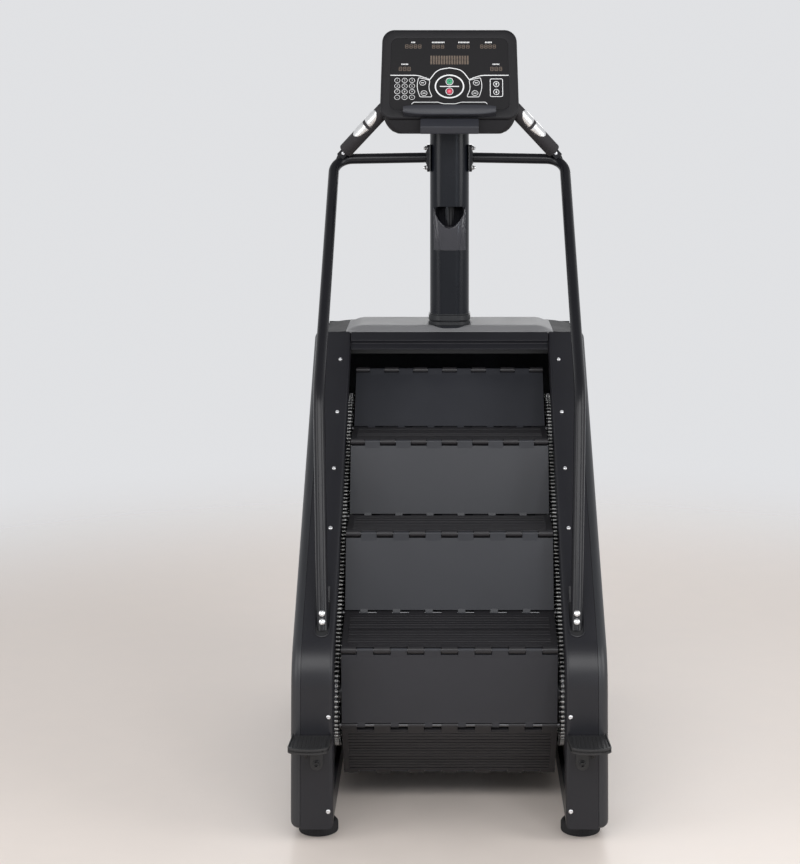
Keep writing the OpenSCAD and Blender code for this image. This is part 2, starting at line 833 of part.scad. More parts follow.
module frame_bolts() {
    color("silver") both_sides() {
        for (t = [-0.009, 0.026])
            translate(rail_foot + t * rail_run) rotate([90 - atan2(rail_run[1], rail_run[2]), 0, 0])
                translate([0, 0, rail_d / 2 + 0.05]) cylinder(r = 8.5, h = 5);
        for (z = [1642, 1700])
            translate([flange_x + 0.5, rail_end[1], z]) rotate([0, 90, 0]) {
                cylinder(r = 4.5, h = 20);
                translate([0, 0, 8.1]) cylinder(r = 9.4, h = 2);
                translate([0, 0, 10.1]) cylinder(r = 8, h = 6, $fn = 6);
            }
        translate([peg_bolt[0], -592, peg_bolt[1]]) rotate([90, 0, 0]) cylinder(r = 10, h = 8);
    }
}

// ==== Console ====
module on_console() {
    translate([0, console_y, console_z]) rotate([-console_tilt, 0, 0]) children();
}
// Plate in the console's face plane: x to the right, y up along the face
module face_plate(t0, t1) {
    on_console() translate([0, t1, 0]) rotate([90, 0, 0]) linear_extrude(t1 - t0) children();
}
module console_outline(inset) {
    translate([0, console_h / 2]) rounded_box(console_w - 2 * inset, console_h - 2 * inset, 36 - inset / 2);
}
console_low = 1746;
// Rear shell with a neck that caps the column
module console_housing() {
    color([0.09, 0.09, 0.10]) difference() {
        union() {
            hull() {
                face_plate(face_t, 44) console_outline(1);
                face_plate(70, 71) console_outline(22);
                translate([-149, console_y + 16, console_low]) cube([298, 60, 10]);
            }
            hull() {
                face_plate(50, 70) translate([0, 70]) square([180, 120], center = true);
                translate([0, column_y, console_low]) linear_extrude(70)
                    rounded_box(column_w + 14, column_d + 14, 50);
            }
        }
        translate([0, column_y, console_low - 10]) linear_extrude(column_top - console_low + 10) column_2d(0);
        face_plate(face_t - 1, 60) translate([0, console_h / 2]) square([330, 200], center = true);
        for (s = [-1, 1])
            bar([s * grip_low[0], grip_low[1], grip_low[2]], [s * grip_high[0], grip_high[1], grip_high[2]], 12.8);
    }
}
module console_bezel() {
    color([0.07, 0.07, 0.08]) face_plate(0, face_t) difference() {
        console_outline(0);
        console_outline(28);
    }
}
// Start, stop, level up and level down: place on the face and radius
key_rows = [[0, 114, 9], [0, 84, 9], [136, 106, 6.5], [136, 82, 6.5]];
module display_panel() {
    color([0.03, 0.03, 0.03]) difference() {
        face_plate(4, face_t) console_outline(28.3);
        for (k = key_rows)
            face_plate(3, 13) translate([k[0], k[1]]) circle(k[2] + 0.4);
    }
}
module panel_button(k) {
    face_plate(3, 9) translate([k[0], k[1]]) circle(k[2]);
}
module start_button() {
    color([0.1, 0.6, 0.3]) panel_button(key_rows[0]);
}
module stop_button() {
    color([0.8, 0.15, 0.1]) panel_button(key_rows[1]);
}
module level_up_button() {
    color([0.8, 0.8, 0.8]) panel_button(key_rows[2]);
}
module level_down_button() {
    color([0.8, 0.8, 0.8]) panel_button(key_rows[3]);
}
module book_rest() {
    color([0.22, 0.22, 0.23]) {
        face_plate(-30, 0) translate([-134, 6]) square([268, 5]);
        face_plate(-34, -30) translate([-134, 2]) square([268, 30]);
    }
}
module console_tray() {
    color([0.12, 0.12, 0.13]) translate([-84, console_y - 34, 1752]) difference() {
        cube([168, 48, 22]);
        translate([5, 5, 6]) cube([158, 38, 30]);
    }
}

main_frame();
foot_studs();
foot_pads();
side_cover_left();
side_cover_right();
face_trim_left();
face_trim_right();
top_cover();
front_shroud();
header_panel();
cover_screws();
frame_bolts();
foot_pegs();
column();
column_collar();
bottle_cup();
pocket_window();
handrail_left();
handrail_right();
grip_tubes();
grip_sleeves();
pulse_plates();
console_housing();
console_bezel();
display_panel();
book_rest();
console_tray();
start_button();
stop_button();
level_up_button();
level_down_button();
shaft_bearings();
step_chains();
drive_motor();
drive_belt();
controller_box();
drive_shaft();
drive_sprockets();
drive_pulley();
top_hinge_rod();
idler_shaft();
idler_sprockets();
low_hinge_rod();
motor_pulley();
front_treads();
front_risers();
front_hinge_rods();
return_treads();
return_risers();
return_hinge_rods();
bottom_tread();
bottom_riser();
under_tread();
under_riser();
top_riser();
top_tread();
back_riser();
back_tread();
transport_wheel_left();
transport_wheel_right();
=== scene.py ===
import json
from math import acos, cos, hypot, pi, radians, sin, sqrt, tan

import bmesh
import bpy
from mathutils import Matrix, Vector


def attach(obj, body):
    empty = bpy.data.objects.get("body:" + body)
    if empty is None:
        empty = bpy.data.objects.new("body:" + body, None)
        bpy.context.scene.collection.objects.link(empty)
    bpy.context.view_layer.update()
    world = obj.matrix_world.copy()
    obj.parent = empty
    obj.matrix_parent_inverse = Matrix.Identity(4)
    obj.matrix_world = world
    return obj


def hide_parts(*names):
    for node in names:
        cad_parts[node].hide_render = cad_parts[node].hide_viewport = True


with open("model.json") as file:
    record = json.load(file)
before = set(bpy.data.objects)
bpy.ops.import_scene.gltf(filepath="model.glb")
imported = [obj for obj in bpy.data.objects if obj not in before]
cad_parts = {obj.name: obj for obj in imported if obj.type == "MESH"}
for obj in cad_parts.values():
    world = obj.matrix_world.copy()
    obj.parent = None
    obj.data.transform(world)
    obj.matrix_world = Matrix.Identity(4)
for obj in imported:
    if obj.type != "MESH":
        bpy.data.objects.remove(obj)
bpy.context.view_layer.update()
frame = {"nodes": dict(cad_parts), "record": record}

MM = 0.001

# ==== Sizes in millimetres, in the part's own frame ====
STAIR_ANGLE = radians(39)
CHAIN_PITCH = 12.7
LINKS_PER_STEP = 25
STEP_COUNT = 8
SPROCKET_TEETH = 64
TREAD_DEPTH = 196
RISER_HEIGHT = 204
STEP_PHASE = 153.7
LOOP_MID = (8.25, 568)
STEP_HALF = 276
CHAIN_X = 290.5
TAB_PITCH = 86
TAB_W = 41
TAB_GAP = 1.5

UP = (cos(STAIR_ANGLE), sin(STAIR_ANGLE))
INWARD = (sin(STAIR_ANGLE), -cos(STAIR_ANGLE))
STEP_PITCH = CHAIN_PITCH * LINKS_PER_STEP
LOOP_LENGTH = STEP_COUNT * STEP_PITCH
SPROCKET_R = CHAIN_PITCH / (2 * sin(pi / SPROCKET_TEETH))
HALF_TURN = pi * SPROCKET_R
STRAIGHT = LOOP_LENGTH / 2 - HALF_TURN


def along(point, direction, length):
    return (point[0] + direction[0] * length, point[1] + direction[1] * length)


LOW_AXIS = along(LOOP_MID, UP, -STRAIGHT / 2)
HIGH_AXIS = along(LOOP_MID, UP, STRAIGHT / 2)


def on_chain(length):
    """Point (y, z) of the chain's pitch line, a length up the front run."""
    s = length % LOOP_LENGTH
    if s <= STRAIGHT:
        return along(along(LOW_AXIS, INWARD, -SPROCKET_R), UP, s)
    s -= STRAIGHT
    if s <= HALF_TURN:
        a = pi / 2 + STAIR_ANGLE - s / SPROCKET_R
        return along(HIGH_AXIS, (cos(a), sin(a)), SPROCKET_R)
    s -= HALF_TURN
    if s <= STRAIGHT:
        return along(along(HIGH_AXIS, INWARD, SPROCKET_R), UP, -s)
    a = STAIR_ANGLE - pi / 2 - (s - STRAIGHT) / SPROCKET_R
    return along(LOW_AXIS, (cos(a), sin(a)), SPROCKET_R)


def rear_hinge(k):
    return on_chain(STEP_PHASE + (4 - k) * STEP_PITCH)


def nose_hinge(k):
    """Where tread k and the riser below it meet."""
    top, foot = rear_hinge(k), rear_hinge(k + 1)
    chord = hypot(top[0] - foot[0], top[1] - foot[1])
    e = ((top[0] - foot[0]) / chord, (top[1] - foot[1]) / chord)
    a = (RISER_HEIGHT**2 - TREAD_DEPTH**2 + chord**2) / (2 * chord)
    b = sqrt(RISER_HEIGHT**2 - a**2)
    return (foot[0] + a * e[0] - b * e[1], foot[1] + a * e[1] + b * e[0])


# ==== Materials ====
def node(tree, kind, **inputs):
    n = tree.nodes.new(kind)
    for name, value in inputs.items():
        n.inputs[name.replace("_", " ")].default_value = value
    return n


def spread(tree, source, low, high):
    """Maps a 0 to 1 value onto low to high."""
    n = node(tree, "ShaderNodeMapRange")
    n.inputs["To Min"].default_value = low
    n.inputs["To Max"].default_value = high
    tree.links.new(source, n.inputs["Value"])
    return n.outputs["Result"]


def finish(name, colour, rough, metal=0.0, mottle=0.10, grain=700, bump=0.05, stretch=(1, 1, 1),
           coat=0.0, alpha=1.0, spec=0.5):
    """Procedural surface: mottled colour, uneven gloss, and a fine moulded, cast or brushed grain."""
    m = bpy.data.materials.new(name)
    m.use_nodes = True
    t = m.node_tree
    shader = t.nodes["Principled BSDF"]
    place = node(t, "ShaderNodeMapping", Scale=stretch)
    t.links.new(node(t, "ShaderNodeTexCoord").outputs["Object"], place.inputs["Vector"])
    cloud = node(t, "ShaderNodeTexNoise", Scale=9, Detail=5, Roughness=0.6)
    speck = node(t, "ShaderNodeTexNoise", Scale=grain, Detail=3)
    for tex in (cloud, speck):
        t.links.new(place.outputs["Vector"], tex.inputs["Vector"])
    shade = node(t, "ShaderNodeMix")
    shade.data_type = "RGBA"
    shade.inputs["A"].default_value = [c * (1 - mottle) for c in colour] + [1]
    shade.inputs["B"].default_value = [min(1, c * (1 + mottle)) for c in colour] + [1]
    t.links.new(cloud.outputs["Fac"], shade.inputs["Factor"])
    t.links.new(shade.outputs["Result"], shader.inputs["Base Color"])
    t.links.new(spread(t, cloud.outputs["Fac"], rough * 0.8, min(1, rough * 1.2)), shader.inputs["Roughness"])
    relief = node(t, "ShaderNodeBump", Strength=bump, Distance=0.0006)
    t.links.new(speck.outputs["Fac"], relief.inputs["Height"])
    t.links.new(relief.outputs["Normal"], shader.inputs["Normal"])
    shader.inputs["Metallic"].default_value = metal
    shader.inputs["Coat Weight"].default_value = coat
    shader.inputs["Alpha"].default_value = alpha
    shader.inputs["Specular IOR Level"].default_value = spec
    return m


FINISHES = {
    "frame_paint": finish("frame_paint", (0.020, 0.020, 0.022), 0.38, bump=0.08),
    "zinc": finish("zinc", (0.72, 0.72, 0.73), 0.28, metal=1, grain=500),
    "rubber": finish("rubber", (0.016, 0.016, 0.017), 0.75, bump=0.15, spec=0.3),
    "side_plastic": finish("side_plastic", (0.024, 0.025, 0.028), 0.36, grain=900, bump=0.10, spec=0.4),
    "trim_plastic": finish("trim_plastic", (0.014, 0.014, 0.017), 0.34, grain=900, bump=0.10, spec=0.34),
    # top_plastic: the light grey base with low specular is painted reflection; the top cover is dark plastic
    # that looks grey from the bright room it mirrors
    "top_plastic": finish("top_plastic", (0.19, 0.19, 0.195), 0.5, grain=900, bump=0.10, spec=0.12),
    "shoulder_plastic": finish("shoulder_plastic", (0.022, 0.022, 0.024), 0.6, grain=900, bump=0.10,
                               spec=0.06),
    "peg_paint": finish("peg_paint", (0.016, 0.016, 0.017), 0.5, bump=0.2),
    "column_paint": finish("column_paint", (0.005, 0.006, 0.009), 0.26, grain=400, bump=0.04, spec=0.24),
    "column_collar": finish("column_collar", (0.016, 0.017, 0.019), 0.34, bump=0.08, spec=0.35),
    "cup_plastic": finish("cup_plastic", (0.012, 0.012, 0.015), 0.16),
    "smoked_window": finish("smoked_window", (0.050, 0.050, 0.058), 0.12, mottle=0.05, bump=0.0, alpha=0.62),
    "rail_paint": finish("rail_paint", (0.010, 0.010, 0.012), 0.22, grain=600, bump=0.04, spec=0.24),
    "grip_rubber": finish("grip_rubber", (0.024, 0.022, 0.024), 0.62, grain=500, bump=0.25, spec=0.3),
    "pulse_steel": finish("pulse_steel", (0.78, 0.78, 0.78), 0.30, metal=1, stretch=(1, 1, 40)),
    "console_plastic": finish("console_plastic", (0.011, 0.0105, 0.012), 0.48, grain=900, bump=0.12,
                              spec=0.2),
    "display_gloss": finish("display_gloss", (0.010, 0.0095, 0.0105), 0.55, grain=900, bump=0.05, spec=0.16),
    "console_grey": finish("console_grey", (0.026, 0.027, 0.033), 0.38, grain=900, bump=0.12, spec=0.32),
    "key_green": finish("key_green", (0.03, 0.34, 0.16), 0.4),
    "key_red": finish("key_red", (0.50, 0.03, 0.07), 0.4),
    "key_white": finish("key_white", (0.70, 0.70, 0.70), 0.45, mottle=0.03),
    "cast_housing": finish("cast_housing", (0.09, 0.10, 0.11), 0.5, grain=300, bump=0.3),
    "chain_steel": finish("chain_steel", (0.012, 0.012, 0.014), 0.42, metal=0.3, spec=0.3),
    "motor_paint": finish("motor_paint", (0.035, 0.04, 0.045), 0.5, bump=0.2),
    "belt_rubber": finish("belt_rubber", (0.015, 0.015, 0.015), 0.8, bump=0.2),
    "controller_case": finish("controller_case", (0.25, 0.26, 0.27), 0.45, metal=0.5),
    "shaft_steel": finish("shaft_steel", (0.55, 0.55, 0.56), 0.3, metal=1, stretch=(1, 30, 30)),
    "sprocket_steel": finish("sprocket_steel", (0.18, 0.18, 0.19), 0.38, metal=0.9),
    "pulley_alloy": finish("pulley_alloy", (0.28, 0.28, 0.29), 0.4, metal=0.9),
    "tread_alloy": finish("tread_alloy", (0.017, 0.016, 0.018), 0.42, grain=800, bump=0.08, spec=0.4),
    "riser_alloy": finish("riser_alloy", (0.025, 0.026, 0.031), 0.42, grain=800, bump=0.08, spec=0.34),
    "wheel_plastic": finish("wheel_plastic", (0.02, 0.02, 0.02), 0.6, bump=0.1),
    "rod_steel": finish("rod_steel", (0.11, 0.11, 0.115), 0.34, metal=1, stretch=(1, 30, 30)),
    "green_dark": finish("green_dark", (0.01, 0.12, 0.06), 0.4),
    "red_dark": finish("red_dark", (0.75, 0.12, 0.17), 0.4),
    "lamp_amber": finish("lamp_amber", (0.13, 0.095, 0.07), 0.35, grain=160, bump=0.1),
    "roller_steel": finish("roller_steel", (0.50, 0.50, 0.49), 0.40, metal=0.85),
}
# Record slot of each finish that has none of its own
for part in frame["record"]["subparts"]:
    mesh = frame["nodes"][part["node"]].data
    mesh.materials.clear()
    is_rod = part["node"].endswith(("hinge_rods", "hinge_rod"))
    slot_name = "rod_steel" if is_rod else part["material_slot"]
    mesh.materials.append(FINISHES[slot_name])


# ==== Mesh building ====
def arc(centre, r, start, end, steps):
    """Points on a circle from one angle to another, in degrees."""
    angles = [radians(start + (end - start) * i / steps) for i in range(steps + 1)]
    return [(centre[0] + r * cos(a), centre[1] + r * sin(a)) for a in angles]


def rounded_rect(w, h, r, centre=(0, 0), steps=8):
    x, y = w / 2 - r, h / 2 - r
    corners = [(x, y, 0), (-x, y, 90), (-x, -y, 180), (x, -y, 270)]
    return [p for cx, cy, a in corners
            for p in arc((centre[0] + cx, centre[1] + cy), r, a, a + 90, steps)]


def offset_polygon(points, inset):
    """Moves the sides of a convex clockwise polygon inwards, keeping one point to a corner."""
    out = []
    for i, p in enumerate(points):
        before = (Vector(p) - Vector(points[i - 1])).normalized()
        after = (Vector(points[(i + 1) % len(points)]) - Vector(p)).normalized()
        n0, n1 = Vector((before.y, -before.x)), Vector((after.y, -after.x))
        middle = (n0 + n1) / (1 + n0.dot(n1))
        out.append(tuple(Vector(p) + middle * inset))
    return out


def fillet(points, radii, steps=10, closed=True):
    """Rounds the corners of a path; the ends of an open path stay."""
    out = []
    for i, p in enumerate(points):
        if radii[i] == 0 or (not closed and i in (0, len(points) - 1)):
            out.append(Vector(p))
            continue
        p = Vector(p)
        a = (Vector(points[i - 1]) - p).normalized()
        b = (Vector(points[(i + 1) % len(points)]) - p).normalized()
        half = acos(max(-1, min(1, a.dot(b)))) / 2
        centre = p + (a + b).normalized() * (radii[i] / sin(half))
        start = p + a * (radii[i] / tan(half)) - centre
        end = p + b * (radii[i] / tan(half)) - centre
        sweep = pi - 2 * half
        for k in range(steps + 1):
            f = k / steps
            out.append(centre + start * (sin((1 - f) * sweep) / sin(sweep))
                       + end * (sin(f * sweep) / sin(sweep)))
    return out


class Shape:
    """Faces gathered in millimetres; place carries the parts that follow into the part's frame."""

    def __init__(self):
        self.verts = []
        self.faces = []
        self.place = Matrix.Identity(4)

    def add(self, verts, faces):
        first = len(self.verts)
        self.verts += [self.place @ Vector(v) for v in verts]
        self.faces += [[first + i for i in f] for f in faces]

    def loft(self, rings, closed=True, caps=True, wrap=False):
        """Skins a run of equal rings. wrap joins the last ring to the first."""
        n = len(rings[0])
        faces = []
        for r in range(len(rings) if wrap else len(rings) - 1):
            a, b = r * n, ((r + 1) % len(rings)) * n
            for i in range(n if closed else n - 1):
                j = (i + 1) % n
                faces.append([a + i, a + j, b + j, b + i])
        if caps and not wrap:
            faces.append(list(range(n))[::-1])
            faces.append([(len(rings) - 1) * n + i for i in range(n)])
        self.add([p for ring in rings for p in ring], faces)

    def prism(self, outline, x0, x1):
        """Extrudes a (y, z) outline along X."""
        self.loft([[(x, y, z) for y, z in outline] for x in (x0, x1)])

    def slab(self, outline, *levels):
        """Stacks an (x, y) outline at heights z."""
        self.loft([[(x, y, z) for x, y in outline] for z in levels])

    def plate(self, outline, d0, d1):
        """Extrudes an (x, z) outline along Y."""
        self.loft([[(x, d, z) for x, z in outline] for d in (d0, d1)])

    def box(self, low, high):
        self.prism([(low[1], low[2]), (high[1], low[2]), (high[1], high[2]), (low[1], high[2])],
                   low[0], high[0])

    def lathe(self, profile, sides=28):
        """Revolves (radius, height) points round the local Z axis."""
        turns = [2 * pi * i / sides for i in range(sides)]
        self.loft([[(max(r, 0.01) * cos(a), max(r, 0.01) * sin(a), h) for a in turns] for r, h in profile])

    def tube(self, points, r, sides=24):
        """Round tube along a path of 3-D points."""
        points = [Vector(p) for p in points]
        side = None
        rings = []
        for i, p in enumerate(points):
            ahead = points[min(i + 1, len(points) - 1)] - points[max(i - 1, 0)]
            ahead.normalize()
            if side is None:
                side = ahead.orthogonal().normalized()
            side = (side - ahead * side.dot(ahead)).normalized()
            other = ahead.cross(side)
            rings.append([p + (side * cos(2 * pi * k / sides) + other * sin(2 * pi * k / sides)) * r
                          for k in range(sides)])
        self.loft(rings)


def seat(a, b):
    """Place whose local Y runs from (y, z) point a to b, with local Z square to it."""
    e = (Vector(b) - Vector(a)).normalized()
    return Matrix(((1, 0, 0, 0), (0, e.x, -e.y, a[0]), (0, e.y, e.x, a[1]), (0, 0, 0, 1)))


def aim(origin, direction, roll=0.0):
    """Place at a point whose local Z looks along a direction."""
    turn = Vector(direction).to_track_quat("Z", "Y").to_matrix().to_4x4()
    return Matrix.Translation(Vector(origin)) @ turn @ Matrix.Rotation(roll, 4, "Z")


def piece(name, shape, slot, body="frame", stands_for=(), bevel=0.0, both=False, smooth=34, steps=2):
    """Turns a Shape into an object that rides on a body. both adds its mirror image across X = 0."""
    verts = [tuple(v * MM) for v in shape.verts]
    faces = list(shape.faces)
    if both:
        n = len(verts)
        verts += [(-x, y, z) for x, y, z in verts]
        faces += [[n + i for i in reversed(f)] for f in faces]
    mesh = bpy.data.meshes.new(name)
    mesh.from_pydata(verts, [], faces)
    bm = bmesh.new()
    bm.from_mesh(mesh)
    bmesh.ops.recalc_face_normals(bm, faces=bm.faces)
    bm.to_mesh(mesh)
    bm.free()
    mesh.shade_smooth()
    mesh.set_sharp_from_angle(angle=radians(smooth))
    mesh.materials.append(FINISHES[slot])
    obj = bpy.data.objects.new(name, mesh)
    bpy.context.scene.collection.objects.link(obj)
    if bevel:
        edges = obj.modifiers.new("edges", "BEVEL")
        edges.width = bevel * MM
        edges.segments = steps
        edges.angle_limit = radians(32)
        edges.harden_normals = True
    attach(obj, body)
    if stands_for:
        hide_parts(*stands_for)
    return obj


def carve(obj, cutter):
    """Cuts a closed Shape out of an object's mesh."""
    mesh = bpy.data.meshes.new("cutter")
    mesh.from_pydata([tuple(v * MM) for v in cutter.verts], [], cutter.faces)
    bm = bmesh.new()
    bm.from_mesh(mesh)
    bmesh.ops.recalc_face_normals(bm, faces=bm.faces)
    bm.to_mesh(mesh)
    bm.free()
    tool = bpy.data.objects.new("cutter", mesh)
    bpy.context.scene.collection.objects.link(tool)
    cut = obj.modifiers.new("cut", "BOOLEAN")
    cut.object = tool
    cut.operation = "DIFFERENCE"
    cut.solver = "EXACT"
    bpy.context.view_layer.update()
    result = bpy.data.meshes.new_from_object(obj.evaluated_get(bpy.context.evaluated_depsgraph_get()))
    obj.modifiers.remove(cut)
    obj.data = result
    result.shade_smooth()
    result.set_sharp_from_angle(angle=radians(34))
    bpy.data.objects.remove(tool)


# ==== Treads and risers ====
TREAD_TOP = 7
TREAD_LOW = 5
NOTCH = 7.6
KNUCKLE_R = 8.6
SMALL_KNUCKLE_R = 5.6
RIB_COUNT = 14
RIB_W = 8.6
RIB_DEPTH = 1.6
RIB_HALF = 261
RISER_HALF_T = 4
FOOT_TAB_W = 20
TABS = [i * TAB_PITCH for i in range(-3, 4)]


def tread_parts(shape):
    """Ribbed plate with plain ends, curled tabs at the nose and knuckle tabs at the rear."""
    u0, u1 = 14, TREAD_DEPTH - NOTCH
    pitch = (u1 - u0) / RIB_COUNT
    ribbed = [(u0, TREAD_LOW), (u1, TREAD_LOW)]
    for i in range(RIB_COUNT):
        edge = u1 - i * pitch
        ribbed += [(edge, 0.6 - TREAD_TOP), (edge - 0.6, -TREAD_TOP), (edge - RIB_W + 0.6, -TREAD_TOP),
                   (edge - RIB_W, 0.6 - TREAD_TOP), (edge - RIB_W, RIB_DEPTH - TREAD_TOP),
                   (edge - pitch, RIB_DEPTH - TREAD_TOP)]
    shape.prism(ribbed, -RIB_HALF, RIB_HALF)
    plain = [(u0, TREAD_LOW), (u1, TREAD_LOW), (u1, -TREAD_TOP), (u0, -TREAD_TOP)]
    for x0, x1 in ((-STEP_HALF, -RIB_HALF), (RIB_HALF, STEP_HALF)):
        shape.prism(plain, x0, x1)
    nose = [(u1 - 6, TREAD_LOW), (u1 - 6, -TREAD_TOP)]
    nose += arc((TREAD_DEPTH, 0), KNUCKLE_R, -92, 105, 14)
    nose += [(TREAD_DEPTH - 8, TREAD_LOW)]
    rear = [(u0 + 6, -TREAD_TOP), (u0 + 6, TREAD_LOW)] + arc((0, 0), SMALL_KNUCKLE_R, 92, 268, 12)
    for x in TABS:
        x0, x1 = max(x - TAB_W / 2, -STEP_HALF), min(x + TAB_W / 2, STEP_HALF)
        shape.prism(nose, x0, x1)
        shape.prism(rear, x0, x1)


def riser_parts(shape):
    """Plate with knuckles round the nose rod and narrow foot tabs round the rear rod."""
    t = RISER_HALF_T
    u0, u1 = 11, RISER_HEIGHT - 6.8
    shape.prism([(u0, t), (u1, t), (u1, -t), (u0, -t)], -STEP_HALF, STEP_HALF)
    nose = [(u0 + 8, t), (u0 + 8, -t), *arc((0, 0), SMALL_KNUCKLE_R, -78, -282, 18)]
    foot = [(u1 - 6, 0.5 - t), *arc((RISER_HEIGHT, 0), SMALL_KNUCKLE_R, -100, 100, 12), (u1 - 6, t)]
    for x in TABS[:-1]:
        x0 = x + TAB_W / 2 + TAB_GAP
        x1 = x0 + TAB_PITCH - TAB_W - 2 * TAB_GAP
        shape.prism(nose, x0, x1)
        shape.prism(foot, x0, x0 + FOOT_TAB_W)


TREAD_BODY = {1: "top_tread", 2: "front_steps", 3: "front_steps", 4: "bottom_tread",
              5: "under_tread", 6: "return_steps", 7: "return_steps", 8: "back_tread"}
RISER_BODY = {k: b.replace("tread", "riser") for k, b in TREAD_BODY.items()}
ROD_R = 4
for k in range(1, 9):
    rear_point, nose_point, foot_point = rear_hinge(k), nose_hinge(k), rear_hinge(k + 1)
    on_run = TREAD_BODY[k].endswith("_steps")
    run = TREAD_BODY[k].split("_")[0]
    tread = Shape()
    tread.place = seat(rear_point, nose_point)
    tread_parts(tread)
    piece(f"tread_{k}", tread, "tread_alloy", TREAD_BODY[k],
          [run + "_treads" if on_run else TREAD_BODY[k]], bevel=0.5, steps=1)
    riser = Shape()
    riser.place = seat(nose_point, foot_point)
    riser_parts(riser)
    piece(f"riser_{k}", riser, "riser_alloy", RISER_BODY[k],
          [run + "_risers" if on_run else RISER_BODY[k]], bevel=0.5, steps=1)
    if not on_run:
        rod = Shape()
        rod.prism(arc(nose_point, ROD_R, 0, 345, 23), -STEP_HALF - 1, STEP_HALF + 1)
        piece(f"nose_rod_{k}", rod, "rod_steel", TREAD_BODY[k], bevel=0.5)

# ==== Step chains ====
chain = Shape()
rollers = Shape()
PLATE_R = 5.9
link_outline = (arc((0, 0), PLATE_R, 50, 310, 8) + [(CHAIN_PITCH / 2, -4.2)]
                + arc((CHAIN_PITCH, 0), PLATE_R, -130, 130, 8) + [(CHAIN_PITCH / 2, 4.2)])
for i in range(STEP_COUNT * LINKS_PER_STEP):
    pin, following = on_chain(STEP_PHASE + i * CHAIN_PITCH), on_chain(STEP_PHASE + (i + 1) * CHAIN_PITCH)
    chain.place = rollers.place = seat(pin, following)
    inner_side = 5.5 if i % 2 else 6.8
    for x in (CHAIN_X - inner_side - 1.2, CHAIN_X + inner_side):
        chain.prism(link_outline, x, x + 1.2)
    rollers.prism(arc((0, 0), 3.5, 0, 330, 11), CHAIN_X - 5.3, CHAIN_X + 5.3)
    rollers.prism(arc((0, 0), 1.9, 0, 315, 7), CHAIN_X - 8.6, CHAIN_X + 8.6)
piece("chain_plates", chain, "chain_steel", "frame", ["step_chains"], both=True)
piece("chain_rollers", rollers, "roller_steel", "frame", ["step_chains"], both=True)

# ==== Covers ====
FACE_SLOPE = 0.81
FACE_Y0, FACE_Z0 = -42.5, 876.5
COVER_TOP = 1162
COVER_LOW = 36
FACE_TOP_Y = FACE_Y0 + (COVER_TOP - FACE_Z0) / FACE_SLOPE
SHROUD_TOP_Y = 602.5
BODY = [(-590.5, COVER_LOW), (-575, FACE_Z0 + FACE_SLOPE * (-575 - FACE_Y0)), (FACE_TOP_Y, COVER_TOP),
        (SHROUD_TOP_Y, COVER_TOP), (657.5, 900), (707.5, 300), (707.5, COVER_LOW)]
BODY_RADII = [12, 150, 26, 40, 160, 80, 12]
SEAM_X = 372
COVER_HALF_W = 397
COVER_EDGE_R = 22
OPENING_HALF_W = 290


def body_ring(inset, x):
    radii = [max(r - inset, 1) for r in BODY_RADII]
    return [(x, p.x, p.y) for p in fillet(offset_polygon(BODY, inset), radii)]


cover = Shape()
rings = [body_ring(26, SEAM_X + 8), body_ring(5, SEAM_X + 8), body_ring(4, SEAM_X + 0.9),
         body_ring(0.3, SEAM_X + 0.4), body_ring(0, SEAM_X + 0.8)]
for a in range(0, 91, 9):
    rings.append(body_ring(COVER_EDGE_R * (1 - cos(radians(a))),
                           COVER_HALF_W - COVER_EDGE_R + COVER_EDGE_R * sin(radians(a))))
cover.loft(rings)
piece("side_panel_right", cover, "side_plastic", stands_for=["side_cover_right"])
cover.verts = [Vector((-v.x, v.y, v.z)) for v in cover.verts]
piece("side_panel_left", cover, "side_plastic", stands_for=["side_cover_left"])

# Face trims: a moulded strip with a rounded inner edge and a skirt into the machine
TRIM_SECTION = [(SEAM_X - 0.2, 0.4), (SEAM_X - 0.6, 0), (302, 0)]
TRIM_SECTION += [(302 - 12 * sin(radians(a)), 12 - 12 * cos(radians(a))) for a in range(15, 91, 15)]
TRIM_SECTION += [(OPENING_HALF_W, 58), (OPENING_HALF_W + 3, 58), (OPENING_HALF_W + 3, 12), (SEAM_X - 0.2, 5)]


def face_path(depth):
    """The face's line from the floor edge to the top, moved a depth into the machine."""
    inner = offset_polygon(BODY, depth)[:3]
    inner[2] = along(inner[2], (1 / hypot(1, FACE_SLOPE), FACE_SLOPE / hypot(1, FACE_SLOPE)), depth * 0.2)
    return fillet(inner, [0, max(BODY_RADII[1] - depth, 20), 0], steps=16, closed=False)


paths = [face_path(d) for x, d in TRIM_SECTION]
trim = Shape()
trim.loft([[(x, min(path[i].x, FACE_TOP_Y), min(path[i].y, COVER_TOP - 2)) for (x, d), path in
            zip(TRIM_SECTION, paths)] for i in range(len(paths[0]))])
piece("face_strip_right", trim, "trim_plastic", stands_for=["face_trim_right"])
trim.verts = [Vector((-v.x, v.y, v.z)) for v in trim.verts]
piece("face_strip_left", trim, "trim_plastic", stands_for=["face_trim_left"])

# Header: lip in the face plane, then a recessed strip
F_DIR = Vector((1, FACE_SLOPE)).normalized()
F_OUT = Vector((-F_DIR.y, F_DIR.x))
lip_top = Vector((FACE_TOP_Y - 1.8, COVER_TOP - 1.5))
lip_low = lip_top - F_DIR * 22 / F_DIR.y
strip_top = lip_low - F_OUT * 12
strip_low = strip_top - F_DIR * 15 / F_DIR.y
back = -F_OUT * 4
header = Shape()
header.prism([tuple(p) for p in (lip_top, lip_low, strip_top, strip_low, strip_low + back,
                                 strip_top + back + F_DIR * 4, lip_low + back + F_DIR * 4, lip_top + back)],
             0.5 - OPENING_HALF_W, OPENING_HALF_W - 0.5)
piece("header", header, "trim_plastic", stands_for=["header_panel"], bevel=1.6)


# Top cover: a raised deck that falls to the sides
def ease(t):
    t = max(0.0, min(1.0, t))
    return t * t * (3 - 2 * t)


DECK_HALF = 306
DECK_RISE = 14


